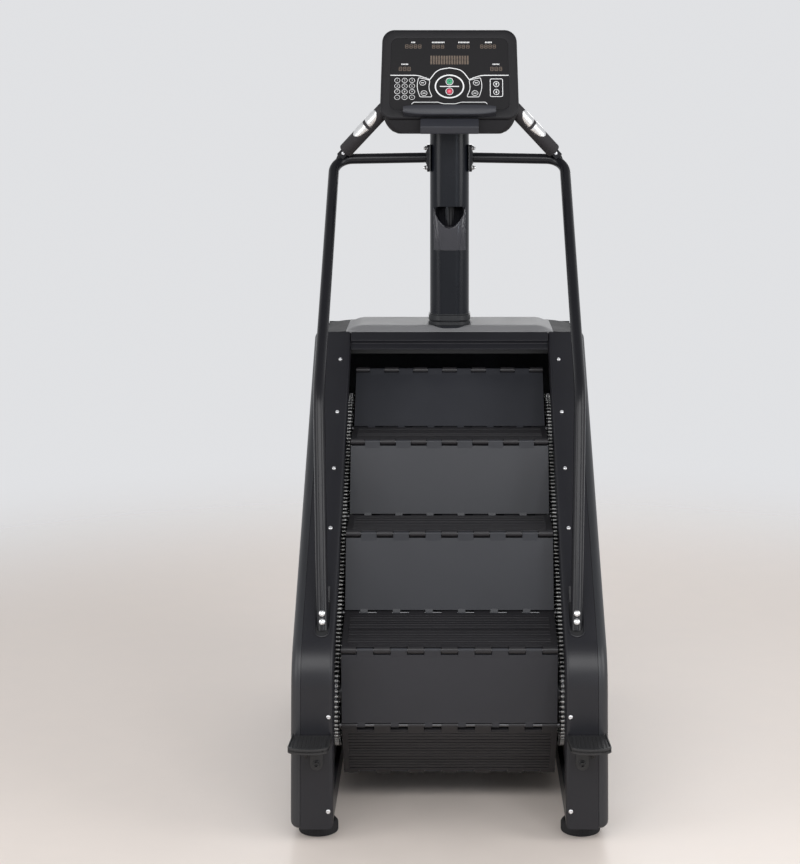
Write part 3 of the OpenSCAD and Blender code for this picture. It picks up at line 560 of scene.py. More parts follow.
def deck_z(x, y):
    to_edge = min(DECK_HALF + 1 - abs(x), y - FACE_TOP_Y - 0.5, SHROUD_TOP_Y - 0.5 - y)
    rise = (DECK_RISE * ease((DECK_HALF + 8 - abs(x)) / 52) * ease((y - FACE_TOP_Y) / 34)
            * ease((SHROUD_TOP_Y - y) / 60))
    round_off = 3 * (1 - sqrt(max(0.0, 1 - (1 - min(to_edge / 3, 1)) ** 2)))
    return COVER_TOP + rise - round_off


def shoulder_z(x, y):
    to_edge = min(SEAM_X - 0.5 - abs(x), y - FACE_TOP_Y - 0.5, SHROUD_TOP_Y - 0.5 - y)
    fall = 7 * ease((abs(x) - DECK_HALF) / (SEAM_X - DECK_HALF))
    return COVER_TOP - 1 - fall - 4 * (1 - sqrt(max(0.0, 1 - (1 - min(to_edge / 4, 1)) ** 2)))


def lines(low, high, count):
    """Grid lines, closer together near both edges."""
    edge = [0, 0.4, 1.2, 2.6, 5]
    middle = [low + 5 + (high - low - 10) * i / count for i in range(1, count)]
    return [low + e for e in edge] + middle + [high - e for e in reversed(edge)]


def roof(shape, x0, x1, count, height):
    """Sheet over a rectangle of the top, 4 mm thick."""
    rows = [[(x, y, height(x, y)) for x in lines(x0, x1, count)]
            for y in lines(FACE_TOP_Y + 0.5, SHROUD_TOP_Y - 0.5, 24)]
    shape.loft([row + [(x, y, z - 4) for x, y, z in reversed(row)] for row in rows])


# The deck's light grey finish is painted reflection of the room, lighter than the rest of the top cover
deck = Shape()
roof(deck, -DECK_HALF, DECK_HALF, 44, deck_z)
piece("top_deck", deck, "top_plastic", stands_for=["top_cover"])
shoulders = Shape()
roof(shoulders, DECK_HALF + 0.8, SEAM_X - 0.3, 12, shoulder_z)
piece("top_shoulders", shoulders, "shoulder_plastic", stands_for=["top_cover"], both=True)

# Cover on the side away from the user: formed panel with a service door and louvres
shroud_path = [(SHROUD_TOP_Y - 0.5, COVER_TOP - 5), (657.5, 900), (707.5, 300), (707.5, COVER_LOW)]
outer = [tuple(p) for p in fillet(shroud_path, [0, 160, 80, 0], closed=False)]
inner = [(y - 4, z - (0.5 if i < len(outer) - 1 else 0)) for i, (y, z) in enumerate(outer)]
shroud = Shape()
shroud.prism(outer + inner[::-1], 0.5 - SEAM_X, SEAM_X - 0.5)
piece("rear_shroud", shroud, "side_plastic", stands_for=["front_shroud"], bevel=1.0)
DOOR_LOW, DOOR_HIGH, DOOR_HALF = 330, 640, 210
DOOR_CORNER_R = 24
LOUVRE_ROWS, LOUVRE_Z, LOUVRE_PITCH, LOUVRE_W = 7, 700, 16, 140
door = Shape()


def shroud_y(z):
    return 707.5 - 50 * (z - 300) / 600


door.loft([[(x, shroud_y(z) + d, z) for x, z in
            rounded_rect(2 * DOOR_HALF - 2 * i, DOOR_HIGH - DOOR_LOW - 2 * i, DOOR_CORNER_R - i,
                         (0, (DOOR_LOW + DOOR_HIGH) / 2))]
           for i, d in ((0, -1.5), (0, 0.9), (1.0, 1.7))])
piece("service_door", door, "trim_plastic")
louvres = Shape()
for row in range(LOUVRE_ROWS):
    z = LOUVRE_Z + row * LOUVRE_PITCH
    for x0 in (-180, 40):
        louvres.loft([[(x, shroud_y(z) - 3, z - 5), (x, shroud_y(z) + 4, z - 4), (x, shroud_y(z) - 3, z + 7)]
                      for x in (x0, x0 + LOUVRE_W)])
piece("louvres", louvres, "trim_plastic")

# ==== Screws and bolts ====
SCREW = [(0, 1.6), (2.6, 1.6), (2.9, 3.4), (4.2, 3.2), (5.4, 2.1), (5.8, 0.6), (5.8, -0.5)]
screws = Shape()
SLOPE_OUT = Vector((0, -sin(STAIR_ANGLE), cos(STAIR_ANGLE)))
for z in (1091, 964.5, 836.5, 708.6, 585.5):
    screws.place = aim((317, FACE_Y0 + (z - FACE_Z0) / FACE_SLOPE, z), SLOPE_OUT)
    screws.lathe(SCREW)
for z in (312, 80):
    screws.place = aim((302, -590.5 + (z - COVER_LOW) * 15.5 / 409, z), (0, -1, 0.04))
    screws.lathe(SCREW)
for x, z in ((DOOR_HALF - 16, DOOR_LOW + 16), (DOOR_HALF - 16, DOOR_HIGH - 16)):
    screws.place = aim((x, shroud_y(z) - 0.9, z), (0, 1, 0.08))
    screws.lathe([(r * 0.7, h * 0.7 + 1.2) for r, h in SCREW])
piece("panel_screws", screws, "zinc", stands_for=["cover_screws"], both=True)

# ==== Foot pegs ====
PEG_Z = 269
peg_plan = [(291, -586), (391, -586), (396, -686), (380, -699), (346, -705), (314, -700), (296, -688)]
peg_outline = [tuple(p) for p in fillet(peg_plan, [0, 0, 14, 20, 60, 20, 14], steps=5)]
peg = Shape()
peg.slab(peg_outline, PEG_Z - 6, PEG_Z)
PEG_MID = 344
PEG_BOLT = (331, 199)
peg.loft([[(x + (PEG_MID - x) * pull, y + 5 * bool(pull), z)
           for pull, z in ((0, PEG_Z - 10), (0, PEG_Z + 4), (0.06, PEG_Z + 4), (0.06, PEG_Z - 10))]
          for x, y in peg_outline[1:] + [peg_outline[0]]])
peg.prism([(-588, PEG_Z - 5), (-588, PEG_Z - 54), (-600, PEG_Z - 54), (-664, PEG_Z - 5)], 352, 360)
tongue = [(PEG_BOLT[0] - 16, PEG_Z - 5), (PEG_BOLT[0] + 16, PEG_Z - 5)]
tongue += [(PEG_BOLT[0] + x, PEG_BOLT[1] + z) for x, z in arc((0, 0), 16, 0, -180, 12)]
peg.plate(tongue, -592, -587)
piece("foot_rests", peg, "peg_paint", stands_for=["foot_pegs"], both=True, bevel=1.0)
pads = Shape()
for i in range(9):
    pads.box((303 + i * 10, -680, PEG_Z), (306 + i * 10, -604, PEG_Z + 1.0))
piece("foot_rest_pads", pads, "rubber", both=True, bevel=0.4)

# ==== Feet and wheels ====
foot = Shape()
FOOT_SPOTS = [(s * 332, y) for s in (-1, 1) for y in (-495.5, 617.5)]
for x, y in FOOT_SPOTS:
    foot.place = Matrix.Translation((x, y, 0))
    rings = []
    for r, h, wave in ((46, 0, 0), (49.2, 0.8, 0), (49.2, 3, 0.8), (49.2, 21, 0.8), (48.6, 23, 0),
                       (44, 28, 0), (14, 28, 0), (12, 26, 0)):
        rings.append([((r + wave * cos(48 * a)) * cos(a), (r + wave * cos(48 * a)) * sin(a), h)
                      for a in (2 * pi * i / 192 for i in range(192))])
    foot.loft(rings)
piece("levelling_feet", foot, "rubber", stands_for=["foot_pads"])
for side, x in (("left", -250), ("right", 250)):
    wheel = Shape()
    wheel.place = Matrix.Translation((x, 668, 31)) @ Matrix.Rotation(pi / 2, 4, "Y")
    wheel.lathe([(5.1, -11), (9, -11), (10, -8), (20, -8), (22, -11), (27.5, -11), (29, -9),
                 (29, -1.5), (28, 0), (29, 1.5), (29, 9), (27.5, 11), (22, 11), (20, 8), (10, 8),
                 (9, 11), (5.1, 11)], sides=40)
    piece("roller_wheel_" + side, wheel, "wheel_plastic", "wheel_" + side, ["transport_wheel_" + side])

# ==== Column, pocket, cup and collar ====
COLUMN_Y = 395.5
COLUMN_W, COLUMN_D, COLUMN_R = 116, 140, 45
COLUMN_Z0, COLUMN_Z1 = 1133, 1790


def column_plan(grow):
    return rounded_rect(COLUMN_W + 2 * grow, COLUMN_D + 2 * grow, COLUMN_R + grow, (0, COLUMN_Y), steps=16)


def ring_at(plan, z):
    return [(x, y, z) for x, y in plan]


column = Shape()
column.loft([ring_at(column_plan(0), COLUMN_Z0), ring_at(column_plan(0), COLUMN_Z1),
             ring_at(column_plan(-3), COLUMN_Z1), ring_at(column_plan(-3), COLUMN_Z0)], wrap=True)
column_obj = piece("column_tube", column, "column_paint", stands_for=["column"])
mouth_outline = [tuple(p) for p in fillet([(-43, 1500), (-42, 1528), (42, 1528), (43, 1500), (0, 1457)],
                                          [18, 9, 9, 18, 24], steps=6)]
mouth = Shape()
mouth.plate(mouth_outline, 300, COLUMN_Y - 20)
window_slot = Shape()
window_slot.box((-44, 300, 1403), (44, COLUMN_Y - 45, 1470))
carve(column_obj, mouth)
carve(column_obj, window_slot)

collar = Shape()
for plan_grow, z0, z1 in ((5, 1177, 1187), (2.5, 1187, 1190), (4, 1190, 1206), (1.5, 1206, 1210)):
    collar.slab(column_plan(plan_grow), z0, z1)
piece("column_base_ring", collar, "column_collar", stands_for=["column_collar"], bevel=1.6)

cup = Shape()
cup.place = Matrix.Translation((0, COLUMN_Y - 18, 1401))
cup.lathe([(0, 0), (40, 0), (43, 2), (44, 6), (44, 124), (43, 126), (41.5, 125), (41, 122), (41, 8), (38, 4),
           (0, 4)],
          sides=48)
cup_obj = piece("cup_liner", cup, "cup_plastic", stands_for=["bottle_cup"])
mouth_near = Shape()
mouth_near.plate(mouth_outline, 300, COLUMN_Y - 18)
carve(cup_obj, mouth_near)
ribs = Shape()
for i in range(-3, 4):
    a = radians(90 + i * 11)
    x, y = 40.6 * cos(a), COLUMN_Y - 18 + 40.6 * sin(a)
    ribs.tube([(x, y, 1410), (x, y, 1518)], 1.3, sides=8)
piece("cup_ribs", ribs, "cup_plastic")


def column_front(x, grow):
    """Y of the column's front, moved outwards."""
    side = max(0.0, abs(x) - (COLUMN_W / 2 - COLUMN_R))
    return COLUMN_Y - (COLUMN_D / 2 - COLUMN_R) - sqrt((COLUMN_R + grow) ** 2 - side**2)


def window_top(x):
    return 1463 + 44 * min(1, abs(x) / 43) ** 2 + 18 * ease((abs(x) - 42) / 5)


window = Shape()
WINDOW_HALF = 47.5
columns = []
for i in range(49):
    x = WINDOW_HALF * sin(radians(-90 + 180 * i / 48))
    out, back_y = column_front(x, 3.6), column_front(x, 0.7)
    top = window_top(x)
    columns.append([(x, out, 1399), (x, out - 0.4, 1401), (x, out - 0.4, top - 2), (x, out, top),
                    (x, back_y, top), (x, back_y, 1399)])
window.loft(columns)
piece("smoked_cover", window, "smoked_window", stands_for=["pocket_window"])

# ==== Handrails ====
RAIL_R = 15.5
rail = Shape()
rail_points = [(322, -491.6, 502), (346, -280.5, 1081), (341, 347.5, 1668), (62, 372.6, 1672)]
rail.tube(fillet(rail_points, [0, 250, 58, 0], steps=18, closed=False), RAIL_R, sides=36)
FACE_UP = Vector((0, 1 / hypot(1, FACE_SLOPE), FACE_SLOPE / hypot(1, FACE_SLOPE)))
for side, sign in (("right", 1), ("left", -1)):
    part = Shape()
    part.add([(sign * v.x, v.y, v.z) for v in rail.verts], rail.faces)
    piece("rail_" + side, part, "rail_paint", stands_for=["handrail_" + side])
flange = Shape()
FLANGE_X = 58.5
flange.prism(rounded_rect(60, 81, 9, (372, 1670.5)), FLANGE_X, FLANGE_X + 8)
flange.place = aim((FLANGE_X + 8, 372.4, 1672), (1, 0, 0))
flange.lathe([(15.6, 0), (22, 0), (21, 2.5), (17.5, 4.5), (15.6, 4.6)], sides=36)
flange.place = Matrix.Identity(4)
grip_low, grip_high = Vector((304, 325, 1697)), Vector((196, 259, 1811))
grip_dir = (grip_high - grip_low).normalized()
flange.tube([Vector((330, 341, 1661)), grip_low - grip_dir * 30, grip_low], 9.5)
flange.place = aim(grip_low - grip_dir * 16, (0, -1, 0)) @ Matrix.Rotation(radians(43), 4, "Z")
flange.slab(rounded_rect(24, 30, 3), -9, 11)
flange.place = Matrix.Identity(4)
piece("rail_flanges", flange, "rail_paint", both=True, bevel=1.2)
# Socket rims where the rails enter the face
rim = Shape()
normal = Vector((0, -FACE_UP.z, FACE_UP.y))
middle = Vector((323, FACE_Y0 + (531 - FACE_Z0) / FACE_SLOPE, 531))
rim_rings = []
for grow, h in ((-2.4, -6), (-2.4, 1.6), (-1.6, 2.6), (0, 3.0), (1.6, 2.4), (2.6, 0.6), (2.6, -1)):
    rim_rings.append([middle + Vector((x, 0, 0)) + FACE_UP * v + normal * h
                      for x, v in rounded_rect(38 + 2 * grow, 118 + 2 * grow, 19 + grow - 0.1, steps=12)])
rim.loft(rim_rings, wrap=True)
piece("rail_rims", rim, "trim_plastic", both=True)
# Flat black rubber sheet inside each rim: painted shade standing in for the dark hole where the rail enters
# the face
hole_shade = Shape()
hole_shade.loft([[middle + Vector((x, 0, 0)) + FACE_UP * v + normal * h
              for x, v in rounded_rect(34, 114, 16.8, steps=12)] for h in (-0.4, 0.4)])
piece("rail_hole_shade", hole_shade, "rubber", both=True)

bolts = Shape()
HEX_HEAD = [(7.2, 0), (7.2, 4.6), (6.4, 5.6), (0, 5.6)]
WASHER = [(0, 0), (9.6, 0), (9.6, 1.6), (0, 1.6)]
RAIL_FOOT, RAIL_RUN = Vector((323, -482.5, 527)), Vector((23, 202, 554))
RAIL_FRONT = Vector((0, -554, 202)).normalized()
for t in (-0.009, 0.026):
    bolts.place = aim(RAIL_FOOT + RAIL_RUN * t + RAIL_FRONT * (RAIL_R - 0.4), RAIL_FRONT)
    bolts.lathe([(0, 0), (8.5, 0), (8.5, 1.8), (8, 3.4), (6.4, 4.9), (3.4, 5.6), (3.2, 3), (0, 3)], sides=32)
for z in (1642, 1700):
    bolts.place = aim((FLANGE_X + 8, 372, z), (1, 0, 0))
    bolts.lathe(WASHER, sides=32)
    bolts.place = aim((FLANGE_X + 9.6, 372, z), (1, 0, 0))
    bolts.lathe(HEX_HEAD, sides=6)
    bolts.place = aim((FLANGE_X + 14, 372, z), (1, 0, 0))
    bolts.lathe([(4, 0), (4, 4), (3.4, 5), (0, 5)], sides=20)
bolts.place = aim(grip_low - grip_dir * 16 + Vector((0, -11, 0)), (0, -1, 0))
bolts.lathe([(5.6, 0), (5.6, 1.4), (4.6, 2.8), (2.4, 3), (2.2, 1.4), (0, 1.4)], sides=24)
piece("rail_bolts", bolts, "zinc", stands_for=["frame_bolts"], both=True)
peg_bolt = Shape()
peg_bolt.place = aim((PEG_BOLT[0], -592, PEG_BOLT[1]), (0, -1, 0))
peg_bolt.lathe([(0, 0), (10, 0), (10, 1.6), (9.2, 2.2), (0, 2.2)], sides=32)
peg_bolt.lathe([(4, 2), (7.6, 2), (7.6, 7), (6.8, 8), (4.6, 8), (4, 4), (0, 4)], sides=6)
piece("peg_bolts", peg_bolt, "peg_paint", stands_for=["frame_bolts"], both=True)

# ==== Grips and pulse plates ====
SLEEVE_R = 22
grip = Shape()
grip.place = aim(grip_low, grip_dir)
grip_length = (grip_high - grip_low).length
s0, s1 = -0.03 * grip_length, 1.08 * grip_length
grip.lathe([(12.5, s0), (19, s0), (21.2, s0 + 0.8), (SLEEVE_R, s0 + 2.4), (SLEEVE_R, s1 - 2.4),
            (21.2, s1 - 0.8), (19, s1), (12.5, s1)], sides=40)
piece("rubber_sleeves", grip, "grip_rubber", stands_for=["grip_sleeves"], both=True)
plates = Shape()
facing = Vector((0.38, -0.80, 0.42))
facing = (facing - grip_dir * facing.dot(grip_dir)).normalized()
across = grip_dir.cross(facing)


def leaf(t0, t1, full_at):
    """Pulse plate on the sleeve: widest at one end of its run, pointed at the other."""
    rows = []
    for i in range(15):
        f = i / 14
        reach = radians(60) * sqrt(max(0.02, 1 - ((f - full_at) ** 2)))
        centre = grip_low + (grip_high - grip_low) * (t0 + (t1 - t0) * f)
        fan = [reach * (j / 6 - 1) for j in range(13)]
        lift = 1.5 if 0 < i < 14 else 0.6
        top = [centre + (facing * cos(a) + across * sin(a))
               * (SLEEVE_R + lift * min(1, (1.02 - abs(a) / reach) * 8)) for a in fan]
        under = [centre + (facing * cos(a) + across * sin(a)) * (SLEEVE_R - 0.8) for a in reversed(fan)]
        rows.append(top + under)
    plates.loft(rows)


leaf(0.34, 0.62, 1)
leaf(0.68, 0.96, 0)
piece("pulse_contacts", plates, "pulse_steel", stands_for=["pulse_plates"], both=True)

# ==== Console ====
CONSOLE = Matrix.Translation((0, 197.5, 1790)) @ Matrix.Rotation(radians(-18), 4, "X")
FACE_W, FACE_H, FACE_R = 405, 275, 36
FACE_TAPER = 0.028
PANEL_D = 0.9


def face_ring(inset, depth, corner=None):
    r = max(FACE_R - 0.55 * inset, 6) if corner is None else corner
    ring = rounded_rect(FACE_W - 2 * inset, FACE_H - 2 * inset, r, (0, FACE_H / 2), steps=12)
    return [(x * (1 - FACE_TAPER * z / FACE_H), depth, z) for x, z in ring]


bezel = Shape()
bezel.place = CONSOLE
bezel.loft([face_ring(i, d) for i, d in ((0.4, 16), (0, 9), (0.6, 5), (2.2, 2.2), (5, 0.5), (9, 0), (25, 0.2),
                                         (27.6, 0.6), (28, 1.4), (28, 16))], wrap=True)
piece("console_frame", bezel, "console_plastic", stands_for=["console_bezel"])
panel = Shape()
panel.place = CONSOLE
panel.loft([face_ring(28.2, PANEL_D), face_ring(28.2, 16)])
piece("overlay", panel, "display_gloss", stands_for=["display_panel"])
shell = Shape()
shell.place = CONSOLE
shell.loft([face_ring(i, d) for i, d in
            ((3, 15.5), (1.2, 17), (0.8, 40), (3, 52), (9, 63), (19, 69.5), (30, 71))])
shell.place = Matrix.Identity(4)
levels = []
for i in range(10):
    f = i / 9
    half = 150 + 42 * sqrt(max(0.0, 1 - (1 - f) ** 2)) ** 1.3
    z = 1746.5 + 58 * f
    front = 212 - 8 * f
    levels.append([(x, y, z) for x, y in rounded_rect(2 * half, 66, 22, (0, front + 36), steps=6)])
shell.loft(levels)
neck = []
for f in (0, 0.04, 0.96, 1):
    trim_in = 2 if f in (0, 1) else 0
    neck.append([(x, y, 1746 + 70 * f) for x, y in
                 rounded_rect(COLUMN_W + 14 - 2 * trim_in, COLUMN_D + 14 - 2 * trim_in, 50, (0, COLUMN_Y),
                              steps=10)])
shell.loft(neck)
bridge = []
for y, half, z0, z1 in ((262, 90, 1752, 1918), (300, 80, 1748, 1880), (345, 62, 1746.5, 1836),
                        (372, 58, 1746.5, 1815.5)):
    bridge.append([(x, y, z) for x, z in rounded_rect(2 * half, z1 - z0, 22, (0, (z0 + z1) / 2), steps=6)])
shell.loft(bridge)
piece("console_shell", shell, "console_plastic", stands_for=["console_housing"], smooth=40)

rest = Shape()
rest.place = CONSOLE
REST_HALF = 134
sections = []
for i in range(33):
    x = REST_HALF * (i / 16 - 1)
    bow = 6 * (1 - (x / REST_HALF) ** 2)
    low = 2 + 9 * (x / REST_HALF) ** 4
    tip = 3 * (x / REST_HALF) ** 8
    sections.append([(x, 0.5, 5 + tip), (x, -27 - bow, low), (x, -30.5 - bow, low + 1),
                     (x, -32 - bow, low + 4), (x, -32.5 - bow, 29 - tip), (x, -31.5 - bow, 31.5 - tip),
                     (x, -29.5 - bow, 31.5 - tip), (x, -28.5 - bow, 29 - tip),
                     (x, -28 - bow, 13 + tip * 0.3), (x, 0.5, 11 + tip)])
rest.loft(sections)
piece("reading_rest", rest, "console_grey", stands_for=["book_rest"])
tray = Shape()
TRAY_HALF = 84
tray.prism([(208, 1793), (184, 1791), (168, 1773), (164, 1768), (164.5, 1765), (171, 1749), (174, 1747),
            (208, 1747)], -TRAY_HALF, TRAY_HALF)
piece("phone_tray", tray, "console_grey", stands_for=["console_tray"], bevel=2.0, steps=3)


# Printed graphics: flat ribbons just proud of the overlay
INK_D = PANEL_D - 0.25


def on_face(x, up, lift=0.0):
    return CONSOLE @ Vector((x, INK_D - lift, up))


class Ink(Shape):
    def stroke(self, points, width, closed=False):
        points = [Vector(p) for p in points]
        n = len(points)
        left, right_side = [], []
        for i, p in enumerate(points):
            a = points[(i - 1) % n] if closed or i else p
            b = points[(i + 1) % n] if closed or i < n - 1 else p
            d = (b - a).normalized()
            side = Vector((-d.y, d.x)) * width / 2
            left.append(on_face(*(p + side)))
            right_side.append(on_face(*(p - side)))
        if closed:
            left.append(left[0])
            right_side.append(right_side[0])
        self.loft([left, right_side], closed=False, caps=False)

    def fill(self, points, lift=0.0):
        self.add([on_face(x, y, lift) for x, y in points], [list(range(len(points)))])

    def ring(self, centre, rx, rz, width, steps=40):
        self.stroke([(centre[0] + rx * cos(2 * pi * i / steps), centre[1] + rz * sin(2 * pi * i / steps))
                     for i in range(steps)], width, closed=True)


ink = Ink()
RULE = 2.6
for s in (-1, 1):
    rule = fillet([(s * 177, 133), (s * 92, 133), (s * 57, 120), (s * 36, 150), (0, 156)], [0, 60, 3, 40, 0],
                  steps=8, closed=False)
    ink.stroke([tuple(p) for p in rule], RULE)
    group = [(s * 90, 126), (s * 96, 98), (s * 86, 67), (s * 50, 67), (s * 61, 92), (s * 57, 118)]
    ink.stroke([tuple(p) for p in fillet(group, [4, 60, 6, 3, 40, 4], steps=6)], 1.9, closed=True)
    for dx in (0, 7, 14):
        ink.stroke([(s * (62 + dx), 122 + dx * 0.35), (s * (70 + dx), 127 + dx * 0.25)], 1.0)
    for centre in ((s * 78, 110), (s * 74, 78.5)):
        ink.ring(centre, 8.8, 7.4, 1.4)
        ink.stroke([(centre[0] - 4.5, centre[1]), (centre[0] + 4.5, centre[1])], 2.2)
ink.ring((0, 99), 41, 34.5, 4.0, steps=72)
ink.stroke([(-28, 99), (28, 99)], 2.8)
low_rule = fillet([(-110, 45), (-104, 51), (-34, 51), (-17, 46), (17, 46), (34, 51), (104, 51), (110, 45)],
                  [0, 3, 14, 26, 26, 14, 3, 0], steps=6, closed=False)
ink.stroke([tuple(p) for p in low_rule], 2.0)
KEY_XS = (-152, -130.5, -109)
KEY_ZS = (117.5, 100, 83, 65.7)
for z in KEY_ZS:
    for x in KEY_XS:
        ink.ring((x, z), 7.8, 6.8, 1.2)
ink.stroke([tuple(p) for p in rounded_rect(36, 54, 4, (136.5, 95))], 2.0, closed=True)
for x, w in ((-106, 15), (-33, 40), (41, 34), (113, 21)):
    for part_x in range(int(w / 4.2)):
        ink.fill(rounded_rect(3.0, 4.4, 0.8, (x - w / 2 + 3 + part_x * 4.2, 234.5), steps=2))
for x in (-130, 136):
    for part_x in range(5):
        ink.fill(rounded_rect(3.0, 4.0, 0.8, (x - 9 + part_x * 4.2, 167), steps=2))
piece("white_print", ink, "key_white")

lamps = Ink()


def digits(x0, x1, z0, z1, count):
    """Seven-segment windows side by side."""
    pitch = (x1 - x0) / count
    for i in range(count):
        left, high, mid = x0 + (i + 0.16) * pitch, z1 - 2, (z0 + z1) / 2
        w = pitch * 0.62
        for z in (z0 + 2, mid, high):
            lamps.stroke([(left, z), (left + w, z)], 1.5)
        for x in (left, left + w):
            lamps.stroke([(x, z0 + 2.4), (x, mid - 0.6)], 1.5)
            lamps.stroke([(x, mid + 0.6), (x, high - 0.4)], 1.5)


WINDOWS = ((-131, -80.5, 214.7, 229, 4), (-52.4, -13.7, 214.7, 228, 3), (21.4, 60.6, 214.7, 228, 3),
           (88.7, 137.6, 214.7, 228.6, 4), (-149, -111.3, 145.3, 160, 3), (117.7, 155.2, 145.3, 160, 3))
for x0, x1, z0, z1, count in WINDOWS:
    digits(x0, x1, z0, z1, count)
CELLS, CELL_ROWS = 15, 7
MATRIX_W, MATRIX_H, MATRIX_LOW = 114, 27, 166.5
for i in range(CELLS):
    for j in range(CELL_ROWS):
        x = MATRIX_W * (i + 0.5) / CELLS - MATRIX_W / 2
        z = MATRIX_LOW + MATRIX_H * (j + 0.5) / CELL_ROWS
        lamps.fill(rounded_rect(5.6, 3.1, 1.2, (x, z), steps=2))
piece("led_segments", lamps, "lamp_amber")

# Digits of the keypad
DIGIT_SIZE = 0.0078
for index, mark in enumerate(["1", "2", "3", "4", "5", "6", "7", "8", "9", "-", "0", "+"]):
    words = bpy.data.curves.new("mark", "FONT")
    words.body = mark
    words.size = DIGIT_SIZE
    words.align_x = words.align_y = "CENTER"
    holder = bpy.data.objects.new("mark", words)
    bpy.context.scene.collection.objects.link(holder)
    bpy.context.view_layer.update()
    flat = bpy.data.meshes.new_from_object(holder.evaluated_get(bpy.context.evaluated_depsgraph_get()))
    bpy.data.objects.remove(holder)
    digit = Shape()
    digit.add([on_face(v.co.x / MM + KEY_XS[index % 3], v.co.y / MM + KEY_ZS[index // 3])
               for v in flat.vertices], [list(p.vertices) for p in flat.polygons])
    piece(f"key_digit_{index}", digit, "key_white")

# Moving keys
KEYS = {"start": (0, 114, 9, "key_green"), "stop": (0, 84, 9, "key_red"),
        "level_up": (136, 106, 6.5, "display_gloss"), "level_down": (136, 82, 6.5, "display_gloss")}
for name, (x, z, r, slot) in KEYS.items():
    key = Shape()
    key.place = CONSOLE @ Matrix.Translation((x, 3, z)) @ Matrix.Rotation(pi / 2, 4, "X")
    key.lathe([(r, -1), (r, 1.2), (r - 0.4, 1.9), (r - 1.4, 2.3), (r * 0.5, 2.6), (0, 2.7)], sides=36)
    piece(name + "_cap", key, slot, name + "_key", [name + "_button"])
    mark = Shape()
    mark.place = key.place
    if name == "stop":
        outline = rounded_rect(6.4, 6.4, 0.8, steps=2)
    elif name == "start":
        outline = [(-2.6, 4), (4.4, 0), (-2.6, -4)]
    else:
        s = 1 if name == "level_up" else -1
        outline = [(0, 4.4 * s), (-3.6, 0.4 * s), (-1.3, 0.4 * s), (-1.3, -4 * s), (1.3, -4 * s),
                   (1.3, 0.4 * s), (3.6, 0.4 * s)]
    mark.slab(outline, 2.2, 3.0)
    mark_slot = {"start": "green_dark", "stop": "red_dark"}.get(name, "key_white")
    piece(name + "_mark", mark, mark_slot, name + "_key")
    halo = Shape()
    halo.place = key.place
    halo.loft([[(rr * cos(a), rr * sin(a), h) for a in (2 * pi * i / 40 for i in range(40))]
               for rr, h in ((r + 0.5, 1.0), (r + 0.5, 2.4), (r + 2.2, 2.4), (r + 2.2, 1.0))], wrap=True)
    piece(name + "_surround", halo, "key_white")

# ==== Floor, lights and camera ====
floor_mesh = bpy.data.meshes.new("floor")
floor_mesh.from_pydata([(-9, -9, 0), (9, -9, 0), (9, 9, 0), (-9, 9, 0)], [], [(0, 1, 2, 3)])
floor = bpy.data.objects.new("floor", floor_mesh)
bpy.context.scene.collection.objects.link(floor)
paint = finish("floor_tone", (0.80, 0.72, 0.66), 0.4, mottle=0.03, grain=60, bump=0.01)
tree = paint.node_tree
spot = tree.nodes.new("ShaderNodeVectorMath")
spot.operation = "LENGTH"
tree.links.new(tree.nodes.new("ShaderNodeNewGeometry").outputs["Position"], spot.inputs[0])
fade = node(tree, "ShaderNodeMapRange")
fade.interpolation_type = "SMOOTHERSTEP"
fade.inputs["From Min"].default_value = 1.6
fade.inputs["From Max"].default_value = 4.6
fade.inputs["To Min"].default_value = 1
fade.inputs["To Max"].default_value = 0
tree.links.new(spot.outputs["Value"], fade.inputs["Value"])
tree.links.new(fade.outputs["Result"], tree.nodes["Principled BSDF"].inputs["Alpha"])
floor_mesh.materials.append(paint)

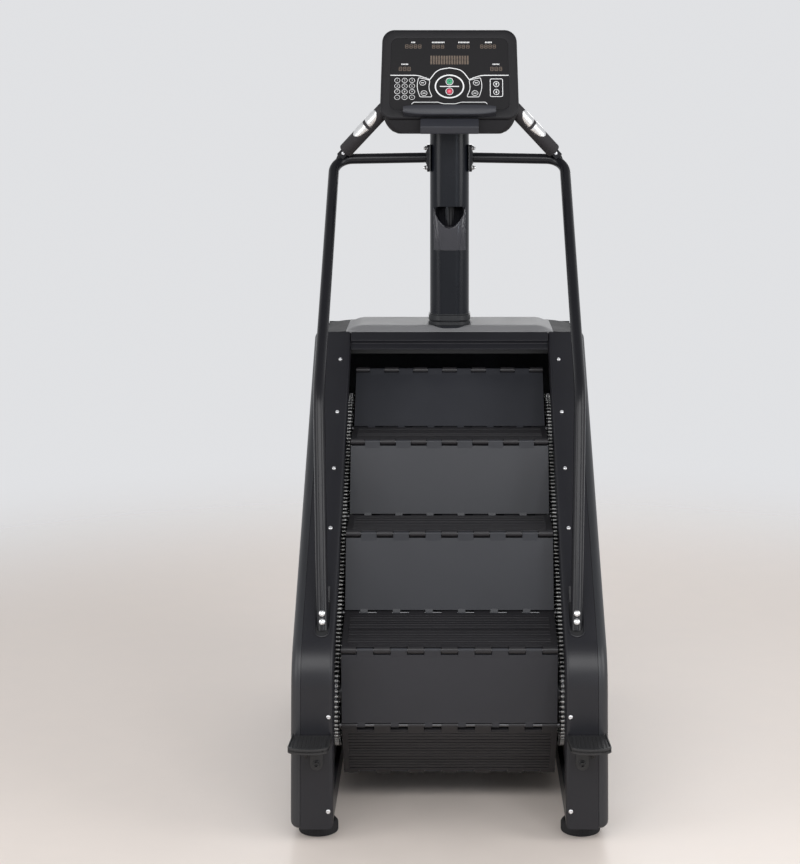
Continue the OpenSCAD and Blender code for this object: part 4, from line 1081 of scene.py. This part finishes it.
world = bpy.data.worlds.new("studio")
world.use_nodes = True
bpy.context.scene.world = world
sky = world.node_tree.nodes["Background"]
sky.inputs["Color"].default_value = (0.75, 0.757, 0.775, 1)
height = world.node_tree.nodes.new("ShaderNodeSeparateXYZ")
generated = world.node_tree.nodes.new("ShaderNodeTexCoord").outputs["Generated"]
world.node_tree.links.new(generated, height.inputs[0])
dim = node(world.node_tree, "ShaderNodeMapRange")
for key, value in (("From Min", 0.4), ("From Max", 0.9), ("To Min", 1.0), ("To Max", 0.35)):
    dim.inputs[key].default_value = value
world.node_tree.links.new(height.outputs["Z"], dim.inputs["Value"])
world.node_tree.links.new(dim.outputs["Result"], sky.inputs["Strength"])


def area_light(name, place, target, size, power, tint=(1, 1, 1)):
    lamp = bpy.data.lights.new(name, "AREA")
    lamp.color = tint
    lamp.shape = "RECTANGLE"
    lamp.size, lamp.size_y = size
    lamp.energy = power
    holder = bpy.data.objects.new(name, lamp)
    holder.location = place
    holder.rotation_euler = (Vector(target) - Vector(place)).to_track_quat("-Z", "Y").to_euler()
    bpy.context.scene.collection.objects.link(holder)


area_light("overhead", (0, -3.5, 3.0), (0, 0, 0.7), (4.2, 1.6), 85)
area_light("left_window", (-3.6, -2.4, 2.2), (0, 0, 1.0), (2.0, 2.6), 45)
area_light("right_window", (3.8, -2.0, 2.4), (0, 0, 1.0), (2.0, 2.6), 60)
area_light("tall_window", (2.3, -5.4, 2.2), (0, 0, 1.4), (0.6, 1.9), 16, (0.78, 0.87, 1.0))
area_light("rear_fill", (0.5, 4.2, 2.6), (0, 0, 1.0), (3.0, 2.0), 40)

camera_data = bpy.data.cameras.new("camera")
camera = bpy.data.objects.new("camera", camera_data)
bpy.context.scene.collection.objects.link(camera)
CAMERA_AT = (0.0, -5.4425, 1.891)
camera.location = CAMERA_AT
camera.rotation_euler = (pi / 2, 0, 0)
camera_data.lens = 81.25
camera_data.sensor_width = 36
bpy.context.scene.camera = camera
bpy.context.scene.view_settings.view_transform = "Standard"


def shift_from_here(channel, value):
    """The lens shift of the front view; it drops to zero wherever else the camera is put."""
    driver = camera_data.driver_add(channel).driver
    tests = []
    for axis, kind, at in zip("xyz", ("LOC_X", "LOC_Y", "LOC_Z"), CAMERA_AT):
        variable = driver.variables.new()
        variable.name = axis
        variable.type = "TRANSFORMS"
        variable.targets[0].id = camera
        variable.targets[0].transform_type = kind
        tests.append(f"({axis} > {at - 0.01:.4f}) * ({axis} < {at + 0.01:.4f})")
    driver.type = "SCRIPTED"
    driver.expression = f"{value} * " + " * ".join(tests)


shift_from_here("shift_x", -0.0573)
shift_from_here("shift_y", -0.4028)
